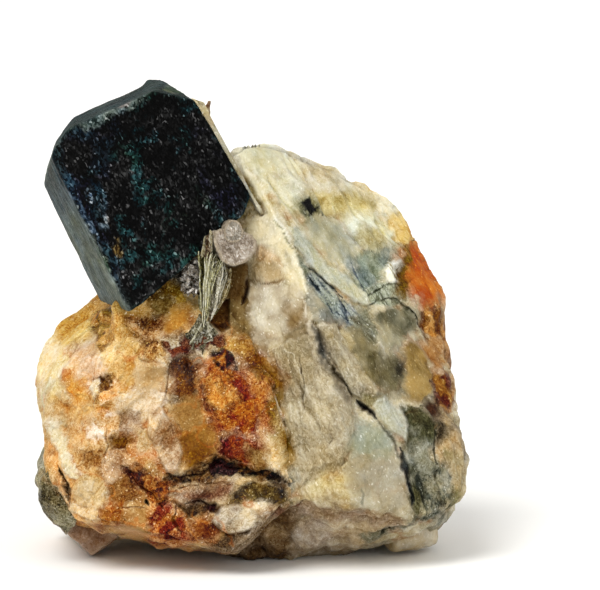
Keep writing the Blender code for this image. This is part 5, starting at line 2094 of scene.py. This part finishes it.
@dataclass
class Crystal:
    """The triphylite crystal: flat faces with a worn edge, striations and a pitted skin.

    Attributes:
        centre: Middle of the crystal in mm.
        faces: Azimuth, elevation and distance of its faces.
        roundness: Sharpness of its edges.
        spacing: Width of the grid's squares in mm.
        tip: Pixel of the raised tip at the top, with its height and its width in mm.
        front_tones: sRGB hex of the front, of its lighter and of its darker clouds.
        sheen_and_side_tones: sRGB hex of the left, of the top and of the hidden faces.
    """

    centre: Point = (-12.7, -11.0, 48.9)
    faces: dict[str, Face] = field(default_factory=lambda: {
        "front": (13, 6, 5.2),
        "front left bevel": (-17, -5, 8.3),
        "left": (-69, -24, 10.3),
        "top": (-84, 67, 11.8),
        "top right": (73, 75, 13.0),
        "right": (108, 29, 9.9),
        "bottom": (110, -51, 8.9),
        "back": (-167, -6, 8.3),
        "left corner": (-87, 16, 13.3),
        "top left corner": (-88, 36, 13.2),
        "right corner": (99, -22, 11.8),
    })
    roundness: float = 120.0
    spacing: float = 0.26
    tip: tuple[Pixels, float] = (((148, 80),), 0.75)
    front_tones: tuple[str, str, str] = ("#051110", "#1b2b2c", "#0d1211")
    # The left and top tones are lighter than the front: a painted sheen, not the crystal's own colour
    sheen_and_side_tones: tuple[str, str, str] = ("#59635e", "#2c3735", "#1c2423")

    def face_polygon(self, name: str) -> np.ndarray:
        """Corners of one face: a large square clipped by every other face.

        Args:
            name: Name of the face.

        Returns:
            Corners from the crystal's centre in mm, in order round the face.
        """
        normal = unit(*self.faces[name][:2])
        middle = normal * self.faces[name][2]
        side = np.cross(normal, (0.0, 0.0, 1.0))
        side /= np.linalg.norm(side)
        other = np.cross(normal, side)
        corners = [middle + 60.0 * (a * side + b * other) for a, b in ((-1, -1), (1, -1), (1, 1), (-1, 1))]
        for key, (azimuth, elevation, distance) in self.faces.items():
            if key == name:
                continue
            cut = unit(azimuth, elevation)
            kept = []
            for start, end in zip(corners, corners[1:] + corners[:1]):
                a = start @ cut - distance
                b = end @ cut - distance
                if a <= 0.0:
                    kept.append(start)
                if (a <= 0.0) != (b <= 0.0):
                    kept.append(start + (end - start) * (a / (a - b)))
            corners = kept
        return np.array(corners)

    def face_grid(self, name: str) -> tuple[np.ndarray, np.ndarray]:
        """Grid over a face: rings that shrink from its rim to its middle.

        Args:
            name: Name of the face.

        Returns:
            Points from the crystal's centre, and quads; the middle is one repeated point.
        """
        corners = self.face_polygon(name)
        rim = []
        for start, end in zip(corners, np.roll(corners, -1, axis=0)):
            count = max(2, round(np.linalg.norm(end - start) / self.spacing))
            share = np.arange(count)[:, None] / count
            rim.append(start + (end - start) * share)
        outer = np.concatenate(rim)
        middle = corners.mean(0)
        rings = max(4, round(np.linalg.norm(outer - middle, axis=1).mean() / self.spacing))
        share = (np.arange(rings) / rings)[:, None, None]
        points = outer[None] + (middle - outer[None]) * share
        points = np.concatenate((points.reshape(-1, 3), middle[None]))
        around = len(outer)
        quads = np.minimum(ring_quads(rings + 1, around), rings * around)
        first = points[quads[0]]
        facing = np.cross(first[1] - first[0], first[3] - first[0]) @ unit(*self.faces[name][:2])
        return points, quads if facing > 0.0 else quads[:, ::-1]

    def closed_mesh(self) -> tuple[np.ndarray, np.ndarray]:
        """All faces as one closed mesh, with the middles as triangles written as quads.

        Returns:
            Points from the crystal's centre, and quads.
        """
        points = []
        quads = []
        total = 0
        for name in self.faces:
            if len(self.face_polygon(name)) < 3:
                continue
            own, own_quads = self.face_grid(name)
            points.append(own)
            quads.append(own_quads + total)
            total += len(own)
        every = np.concatenate(points)
        keys = np.round(every * 1e4).astype(np.int64)
        _, first_at, index = np.unique(keys, axis=0, return_index=True, return_inverse=True)
        return every[first_at], index.reshape(-1)[np.concatenate(quads)]

    def along_edge(self, first: str, second: str) -> np.ndarray:
        """Direction of the edge between two faces."""
        edge = np.cross(unit(*self.faces[first][:2]), unit(*self.faces[second][:2]))
        return edge / np.linalg.norm(edge)

    def share_of(self, directions: np.ndarray, *names: str) -> np.ndarray:
        """How much of the skin belongs to some faces.

        Args:
            directions: Unit directions from the crystal's centre.
            *names: Names of the faces.

        Returns:
            The share of those faces at each direction, from 0 to 1.
        """
        reach = {
            key: np.clip(directions @ unit(a, e) / d, 1e-9, None) for key, (a, e, d) in self.faces.items()}
        top = np.max(np.stack(list(reach.values())), axis=0)
        power = {key: (value / top) ** 60.0 for key, value in reach.items()}
        return sum(power[name] for name in names) / sum(power.values())

    def build(self) -> bpy.types.Object:
        """Make the crystal.

        Returns:
            The new object.
        """
        exact, quads = self.closed_mesh()
        directions = exact / np.linalg.norm(exact, axis=1)[:, None]
        level, normals = skin_level(directions, self.faces, self.roundness)
        points = np.array(self.centre) + directions / level[:, None]
        left = self.share_of(directions, "left", "left corner")
        top = self.share_of(directions, "top", "top left corner", "top right")
        front = self.share_of(directions, "front", "front left bevel")
        other = np.clip(1.0 - left - top - front, 0.0, 1.0)
        down = self.along_edge("left", "front left bevel")
        across = self.along_edge("front", "top")
        lines_left = streaks(points, down, 0.45, 9.0, 81)
        lines_top = streaks(points, across, 0.5, 8.0, 82)
        pits = np.clip(fractal(points, 0.9, 83, 3, 0.6), 0.0, None)
        dents = 1.2 * bowls(points, 1.4, 84) + 0.6 * bowls(points, 0.6, 85)
        height = 0.10 * lattice(points, 5.0, 86) + 0.05 * lattice(points, 2.0, 87)
        height += left * 0.055 * lines_left + top * 0.06 * lines_top
        height += (front + other) * (0.09 * dents - 0.06 * pits)
        height += other * 0.10 * fractal(points, 1.6, 88, 3)
        apex, size = self.tip
        from_apex = np.linalg.norm(VIEW.plane(points) - VIEW.trace(apex)[0], axis=1)
        height += size * np.exp(-(from_apex / size) ** 2) * (1.0 - front)
        points = points + normals * height[:, None]
        plain, light_cloud, dark_cloud = self.front_tones
        left_sheen_tone, top_sheen_tone, other_tone = self.sheen_and_side_tones
        tint = all_over(pigment(plain), len(points))
        # Painted sheen: the left and top faces take lighter tones
        tint = blend(tint, pigment(left_sheen_tone, 0.2), left)
        tint = blend(tint, pigment(top_sheen_tone, 0.2), top)
        tint = blend(tint, pigment(other_tone), other)
        mottle = fractal(points, 2.0, 89, 4, 0.7)
        tint = blend(tint, pigment(light_cloud), front * 0.7 * smoothstep(0.1, 1.0, mottle))
        tint = blend(tint, pigment(dark_cloud), front * 0.6 * smoothstep(-0.2, -1.0, mottle))
        facing = smoothstep(0.05, 0.4, normals @ VIEW.toward)
        feel = all_over(Grain.SMOOTH.value.row(), len(points))
        look = Look(tint, feel, 0.2 + 0.25 * front, np.zeros(len(points)))
        FrontWork(points, facing, look).lay(CRYSTAL_PATCHES, {})
        tone = left * 0.22 * lines_left + top * 0.25 * lines_top
        look.tint = look.tint * np.clip(1.0 + tone, 0.2, 2.0)[:, None]
        tint = painted_shade_and_tone(points, quads, look, 91)
        surface = Surface(points, quads, tint, np.clip(0.3 + 0.7 * front, 0.0, 1.0), 0.35 + 0.65 * front)
        return surface.shown("triphylite_crystal_skin", TRIPHYLITE_FINISH.material())


@dataclass
class PaleSheet:
    """The thin pale sheet that stands up behind the crystal's right face.

    Attributes:
        centre: Middle of the sheet in mm.
        faces: Azimuth, elevation and distance of its faces.
        splinter: Path of the splinter on its edge in pixels.
        splinter_depth: Depth at which the splinter stands, in mm.
        splinter_tones: sRGB hex of its two shades.
    """

    centre: Point = (-2.22, -6.37, 49.78)
    faces: dict[str, Face] = field(default_factory=lambda: {
        "inner": (-72, -29, 0.3),
        "outer": (108, 27, 0.12),
        "front": (13, 6, 6.1),
        "back": (-167, -6, 3.7),
        "top": (108, 71, 8.1),
        "bottom": (-10, -65, 5.6),
    })
    splinter: Pixels = ((203.0, 124.0), (205.5, 113.0), (209.5, 101.0))
    splinter_depth: float = -10.5
    splinter_tones: tuple[str, str] = ("#a08f70", "#7a5f48")

    def build(self) -> bpy.types.Object:
        """Make the sheet.

        Returns:
            The new object.
        """
        mass = StoneMass(
            "pale_feldspar_sheet", self.centre, self.faces, 40.0, 60, FELDSPAR_FINISH,
            "#c9bfa0", "#e3dabc", "#978a68", rusty=0.15, coarse=0.12, grain=Grain.SMOOTH, seed=101,
            traced=False, thin=(108.0, 28.0, 0.06))
        return mass.build()

    def spike(self) -> bpy.types.Object:
        """The small brown splinter that stands up from the sheet's upper edge.

        Returns:
            The new object.
        """
        share = np.linspace(0.0, 1.0, 20)[:, None]
        low, bend, tip = np.array(self.splinter)
        curve = (1.0 - share) ** 2 * low + 2.0 * share * (1.0 - share) * bend + share ** 2 * tip
        path = VIEW.lift_off(curve, self.splinter_depth)
        half = 0.2 + 0.7 * (1.0 - share[:, 0])
        points, quads = ribbon(path, np.array((1.0, 0.0, 0.0)), np.array((0.0, -1.0, 0.0)), half, 0.3, 12)
        points = drifted(points, 0.08, 0.8, 111, 3)
        pale, brown = (pigment(tone) for tone in self.splinter_tones)
        tint = blend(all_over(pale, len(points)), brown, smoothstep(-0.4, 0.6, fractal(points, 1.0, 114)))
        surface = Surface(points, quads, tint, np.full(len(points), 0.4), np.ones(len(points)))
        return surface.shown("sheet_splinter", FELDSPAR_FINISH.material())


def ribbon(path: np.ndarray, across: np.ndarray, outward: np.ndarray, half_width: np.ndarray,
           half_thick: float, around: int = 8) -> tuple[np.ndarray, np.ndarray]:
    """A flat oval section carried along a path and closed at both ends.

    Args:
        path: Places of the middle line in mm.
        across: Direction of the width.
        outward: Direction of the thickness.
        half_width: Half the width at each place.
        half_thick: Half the thickness.
        around: Points round the section.

    Returns:
        Points and quads.
    """
    turn = np.arange(around) / around * 2.0 * math.pi
    wide = np.sign(np.cos(turn)) * np.abs(np.cos(turn)) ** 0.7
    thick = np.sign(np.sin(turn)) * np.abs(np.sin(turn)) ** 0.7
    ring = half_width[:, None, None] * wide[None, :, None] * across
    ring = ring + half_thick * thick[None, :, None] * outward
    body = (path[:, None] + ring).reshape(-1, 3)
    points = np.concatenate((body, path[:1], path[-1:]))
    first = np.arange(around)
    last = (len(path) - 1) * around
    start = np.full(around, len(body))
    end = np.full(around, len(body) + 1)
    caps = np.concatenate((
        np.stack((start, start, (first + 1) % around, first), axis=1),
        np.stack((end, end, last + first, last + (first + 1) % around), axis=1)))
    quads = np.concatenate((ring_quads(len(path), around), caps))
    if np.cross(across, outward) @ (path[-1] - path[0]) < 0.0:
        quads = quads[:, ::-1]
    return points, quads


@dataclass(frozen=True)
class Sheaf:
    """Mica blades side by side, from one line through a second to a third.

    Attributes:
        start, middle, end: Pixels between which the blades start, pass and end.
        count: Number of blades.
        width: Half width in mm at the blades' middle.
        depth: Depth of the first and of the last layer in mm.
        shades: sRGB hex colours that the blades have.
        splintered: How far the blades fall short of the sheaf's ends, 0 to 1.
    """

    start: Pixels
    middle: Pixels
    end: Pixels
    count: int
    width: float
    depth: tuple[float, float]
    shades: tuple[str, ...]
    splintered: float = 0.8


OLIVE_SHADES = ("#3e3a22", "#55512f", "#6b6541", "#2e2a18", "#8f8a62")
SILVER_SHADES = ("#8f8972", "#736d56", "#a8a28a", "#5d5742", "#c9c3ab", "#665f4a")
PALE_LINES = ("#c3be94", "#a8a37a", "#d9d4b2")
TAN_SHADES = ("#9a8a60", "#7d6e48", "#b3a47a", "#6a5b3a")
SHEAVES: dict[str, Sheaf] = {
    "backing": Sheaf(
        ((203, 240), (214, 240)), ((200, 282), (224, 282)), ((201, 322), (212, 322)), 22, 0.5, (-14.2, -15.0),
        OLIVE_SHADES),
    "tan side": Sheaf(
        ((219, 266), (231, 266)), ((217, 292), (229, 285)), ((209, 324), (217, 312)), 22, 0.3, (-14.8, -15.6),
        TAN_SHADES),
    "left strands": Sheaf(
        ((198, 250), (203, 252)), ((200, 280), (204, 284)), ((202, 318), (206, 318)),
        12, 0.16, (-15.2, -16.4), PALE_LINES + OLIVE_SHADES[:2]),
    "heart": Sheaf(
        ((203, 252), (213, 254)), ((204, 276), (212, 276)), ((203, 300), (207, 300)),
        24, 0.15, (-15.0, -16.0), OLIVE_SHADES),
    "right plates": Sheaf(
        ((212, 256), (227, 264)), ((211, 288), (224, 286)), ((205, 322), (212, 320)),
        48, 0.17, (-15.2, -16.6), SILVER_SHADES),
    "crossing lines": Sheaf(
        ((205, 244), (225, 262)), ((204, 276), (214, 284)), ((203, 330), (208, 330)),
        20, 0.08, (-16.3, -16.9), PALE_LINES),
    "spike": Sheaf(
        ((208, 230), (210, 229)), ((204, 246), (212, 246)), ((202, 262), (213, 262)), 9, 0.28, (-15.6, -16.9),
        ("#5a4634", "#7a6650", "#4a3a2a", "#b5aa88")),
    "left foot": Sheaf(
        ((200, 312), (206, 316)), ((194, 328), (204, 330)), ((176, 341), (203, 349)),
        18, 0.34, (-15.0, -16.2), ("#8f8a70", "#75705a", "#a8a48a", "#5e5842")),
    "right foot": Sheaf(
        ((205, 318), (210, 322)), ((206, 333), (215, 331)), ((205, 352), (223, 340)),
        14, 0.26, (-15.0, -16.2), SILVER_SHADES),
    "fringe": Sheaf(
        ((163, 276), (186, 270)), ((167, 270), (188, 264)), ((170, 264), (187, 259)),
        16, 0.16, (-14.6, -15.6), ("#93a0a0", "#b9c4bf", "#75807e")),
}


@dataclass(frozen=True)
class Chips:
    """Small mica plates that lie every way in one area.

    Attributes:
        outline: Corners of the area in pixels.
        count: Number of plates.
        size: Half their usual length in mm.
        depth: Nearest and farthest depth in mm.
        shades: sRGB hex colours that the plates have.
    """

    outline: Pixels
    count: int
    size: float
    depth: tuple[float, float]
    shades: tuple[str, ...]


CHIPS: dict[str, Chips] = {
    "sparkling mass": Chips(
        ((184, 263), (196, 256), (200, 262), (200, 286), (196, 297), (186, 294), (181, 284)),
        150, 0.42, (-14.4, -15.8), ("#8c8478", "#a89f92", "#655c50", "#d6cfc4", "#4a4238")),
    "base shards": Chips(
        ((188, 334), (200, 328), (214, 332), (223, 340), (214, 349), (203, 352), (190, 346)),
        60, 0.5, (-14.8, -16.2), ("#9a947c", "#77715a", "#d8d2ba", "#4f4935", "#eae5d2")),
}


@dataclass
class MicaBook:
    """The fan of mica under the crystal: sheaves of thin blades, and small plates about them."""

    steps: int = 14
    seed: int = 7

    def blades(self, sheaf: Sheaf, rng: np.random.Generator) -> Iterator[Surface]:
        """Blades of one sheaf: flat ovals carried along curves through its three lines.

        Args:
            sheaf: The sheaf.
            rng: Random numbers, drawn blade by blade.

        Yields:
            One blade at a time.
        """
        corners = [np.array(line, float) for line in (sheaf.start, sheaf.middle, sheaf.end)]
        share = np.linspace(0.0, 1.0, self.steps)[:, None]
        for number in range(sheaf.count):
            place = (number + rng.uniform(0.0, 1.0)) / sheaf.count
            start, middle, end = (line[0] + (line[1] - line[0]) * place for line in corners)
            pull = 2.0 * middle - 0.5 * (start + end)
            low = rng.uniform(0.0, 0.5) * sheaf.splintered
            high = 1.0 - rng.uniform(0.0, 0.5) * sheaf.splintered
            t = low + (high - low) * share
            curve = (1.0 - t) ** 2 * start + 2.0 * t * (1.0 - t) * pull + t ** 2 * end
            depth = rng.uniform(*sorted(sheaf.depth))
            path = drifted(VIEW.lift_off(curve, depth), 0.16, 1.5, self.seed, 3)
            turn = math.radians(rng.uniform(-55.0, 55.0))
            across = np.array((math.cos(turn), math.sin(turn), 0.0))
            outward = np.array((math.sin(turn), -math.cos(turn), 0.12))
            half = sheaf.width * rng.uniform(0.6, 1.4) * (0.35 + 0.65 * np.sin(math.pi * share[:, 0]) ** 0.6)
            points, quads = ribbon(path, across, outward, half, rng.uniform(0.03, 0.07), 6)
            shade = pigment(sheaf.shades[rng.integers(len(sheaf.shades))])
            tone = 1.0 + 0.35 * lattice(points, 0.8, self.seed + number)
            tint = np.clip(shade[None] * tone[:, None], 0.0, 0.9)
            yield Surface(points, quads, tint, np.full(len(points), 0.9), np.ones(len(points)))

    def plates(self, chips: Chips, rng: np.random.Generator) -> Surface:
        """Plates strewn over an area, each a bent square of two by two faces, with a back.

        Args:
            chips: The area and its plates.
            rng: Random numbers, drawn for all plates at once.

        Returns:
            All the plates.
        """
        outline = np.array(chips.outline, float)
        spots = rng.uniform(outline.min(0), outline.max(0), (chips.count * 4, 2))
        spots = spots[inside_distance(spots, outline) > 0.0][:chips.count]
        count = len(spots)
        middles = VIEW.lift_off(spots, rng.uniform(*sorted(chips.depth), count))
        long = rng.normal(size=(count, 3)) * (1.0, 0.6, 1.0)
        long /= np.linalg.norm(long, axis=1)[:, None]
        wide = np.cross(long, rng.normal(size=(count, 3)))
        wide /= np.linalg.norm(wide, axis=1)[:, None]
        thick = np.cross(long, wide)
        line = (-1.0, 0.0, 1.0)
        a, b = (grid.ravel() for grid in np.meshgrid(line, line, indexing="ij"))
        size = chips.size * rng.uniform(0.5, 1.5, (count, 1, 1))
        flat = a[None, :, None] * long[:, None] + 0.5 * b[None, :, None] * wide[:, None]
        bend = (0.12 * (a * a - b))[None, :, None] * thick[:, None]
        front = middles[:, None] + size * (flat + bend)
        back = front - 0.05 * thick[:, None]
        points = np.concatenate((front, back), axis=1).reshape(-1, 3)
        # The nine points of a side are numbered row by row
        rim = np.array((0, 3, 6, 7, 8, 5, 2, 1))
        face = sheet_quads(np.arange(9).reshape(3, 3))
        side = np.stack((rim, np.roll(rim, -1), np.roll(rim, -1) + 9, rim + 9), axis=1)
        one = np.concatenate((face, face[:, ::-1] + 9, side[:, ::-1]))
        quads = (one[None] + 18 * np.arange(count)[:, None, None]).reshape(-1, 4)
        shades = np.array([pigment(shade) for shade in chips.shades])
        tint = np.repeat(shades[rng.integers(len(shades), size=count)], 18, axis=0)
        return Surface(points, quads, tint, np.ones(len(points)), np.ones(len(points)))

    def build(self) -> bpy.types.Object:
        """Make the fan, sheaf by sheaf.

        Returns:
            The new object.
        """
        rng = np.random.default_rng(self.seed)
        parts = [blade for sheaf in SHEAVES.values() for blade in self.blades(sheaf, rng)]
        parts += [self.plates(chips, rng) for chips in CHIPS.values()]
        return joined(parts).shown("mica_book_leaves", MICA_FINISH.material(), smooth=False)


@dataclass
class MicaFlake:
    """The round mica flake: stacked leaves with a crumbled sparkling face and a smooth rim.

    Attributes:
        lobes: Outline of each lobe in pixels, with the depth of its front in mm and its colour.
        azimuth: Way that the flake faces.
        leaves: Leaves in each lobe.
        leaf_step: Depth from one leaf to the next in mm.
        leaf_thick: Thickness of a leaf in mm.
        foot_thick: Thickness of the foot behind them in mm.
        rim_tone: sRGB hex of the smooth rim.
        painted_glint_tone: sRGB hex of the painted glints on the crumbled face.
    """

    lobes: tuple[tuple[Pixels, float, str], ...] = (
        (((214, 233), (221, 230), (232, 231), (243, 233), (251, 236), (256.5, 243), (256, 250), (251, 257),
          (245, 262), (238, 264.5), (229, 264), (222, 259), (218, 252), (215, 243)), -16.4, "#9f9181"),
        (((224, 233), (226, 226), (230, 221.5), (236, 221), (241, 226), (243, 233), (240, 240), (232, 242),
          (226, 239)), -16.7, "#968e80"),
    )
    azimuth: float = 18.0
    leaves: int = 4
    leaf_step: float = 0.22
    leaf_thick: float = 0.18
    foot_thick: float = 1.6
    rim_tone: str = "#ab9d88"
    painted_glint_tone: str = "#d5c9b9"

    def leaf(self, outline: Pixels, near: float, thick: float, colour: str, seed: int) -> Surface:
        """One leaf: rings that shrink from the outline to its middle, in front and behind.

        Args:
            outline: Corners in pixels.
            near: Depth of its front in mm.
            thick: Thickness in mm.
            colour: sRGB hex of its crumbled face.
            seed: Seed of its noise.

        Returns:
            The leaf.
        """
        corners = VIEW.trace(outline)
        middle = corners.mean(0)
        corners = corners - middle
        turn = np.arctan2(corners[:, 1], corners[:, 0])
        order = np.argsort(turn)
        count = 96
        angles = np.linspace(-math.pi, math.pi, count + 1)[:-1]
        reach = np.interp(angles, turn[order], np.linalg.norm(corners, axis=1)[order], period=2 * math.pi)
        ragged = np.stack((np.cos(angles), np.sin(angles), np.full(count, seed)), axis=1)
        reach = reach * (1.0 + 0.05 * fractal(ragged * 2.0, 0.5, seed, 3))
        rings = np.linspace(1.0, 0.0, 30)[:, None]
        pixels = np.array(outline, float).mean(0)
        place = VIEW.lift_off(np.array([pixels]), near)[0]
        facing = unit(self.azimuth, 0.0)
        side = unit(self.azimuth + 90.0, 0.0)
        across = (reach * rings * np.cos(angles))[..., None] * side
        above = (reach * rings * np.sin(angles))[..., None] * np.array((0.0, 0.0, 1.0))
        sheets = [(place + across + above - back * facing).reshape(-1, 3) for back in (0.0, thick)]
        points = np.concatenate(sheets)
        front = ring_quads(len(rings), count)
        half = len(sheets[0])
        first = np.arange(count)
        rim = np.stack((first + half, (first + 1) % count + half, (first + 1) % count, first), axis=1)
        quads = np.concatenate((front, front[:, ::-1] + half, rim))
        inner = 1.0 - np.concatenate((np.repeat(rings[:, 0], count),) * 2)
        crumbled = smoothstep(0.06, 0.22, inner + 0.05 * fractal(points, 1.0, seed + 2, 2))
        ripple = fractal(points, 1.3, seed + 1, 3)
        lift = 0.10 * ripple + crumbled * (0.12 * bowls(points, 0.9, seed) - 0.06)
        lift[half:] = 0.0
        points = points + lift[:, None] * facing
        ground = pigment(colour)
        tint = blend(all_over(pigment(self.rim_tone), len(points)), ground, crumbled)
        # Painted shade in the ripples' hollows, and painted glints on their crests
        tint = blend(tint, 0.7 * ground, 0.5 * crumbled * smoothstep(0.2, 0.9, -ripple))
        tint = blend(tint, pigment(self.painted_glint_tone), 0.6 * crumbled * smoothstep(0.3, 1.0, ripple))
        return Surface(points, quads, tint, 0.4 + 0.4 * crumbled, 0.3 + 0.35 * crumbled)

    def build(self) -> bpy.types.Object:
        """Make the flake from its lobes, each a stack of leaves on a thicker foot.

        Returns:
            The new object.
        """
        parts = []
        for number, (outline, near, colour) in enumerate(self.lobes):
            for leaf in range(self.leaves):
                depth = near + self.leaf_step * leaf
                parts.append(self.leaf(outline, depth, self.leaf_thick, colour, 600 + 20 * number + leaf))
            depth = near + self.leaf_step * self.leaves
            parts.append(self.leaf(outline, depth, self.foot_thick, colour, 640 + number))
        return joined(parts).shown("mica_flake_leaves", MICA_FINISH.material())


def write_sizes() -> None:
    """Work out the CAD box and the visual model's box, in metres."""
    boxes = {"cad": CAD_BOX, "visual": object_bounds()}
    sizes = {name: [list(corner) for corner in box] for name, box in boxes.items()}


def main() -> None:
    """Build every piece in order."""
    logging.basicConfig(level=logging.INFO, format="%(message)s")
    fronts = ((feldspar_block(), "feldspar_front", 300), (stained_quartz(), "stained_quartz_front", 280))
    for mass, front, steps in fronts:
        fit_to_body(mass.build(), "pegmatite", "matrix")
        fit_to_body(mass.front_sheet(front, steps), "pegmatite", "matrix")
    for mass in (quartz_seat(), dark_lump(), left_nub(), right_nub()):
        fit_to_body(mass.build(), "pegmatite")
    fit_to_body(PaleSheet().build(), "pegmatite")
    fit_to_body(PaleSheet().spike(), "pegmatite")
    fit_to_body(Crystal().build(), "triphylite", "triphylite_crystal")
    fit_to_body(MicaBook().build(), "mica_book", "mica_book")
    fit_to_body(MicaFlake().build(), "mica_flake", "mica_flake")
    STUDIO.build()
    write_sizes()


if __name__ == "__main__":
    main()
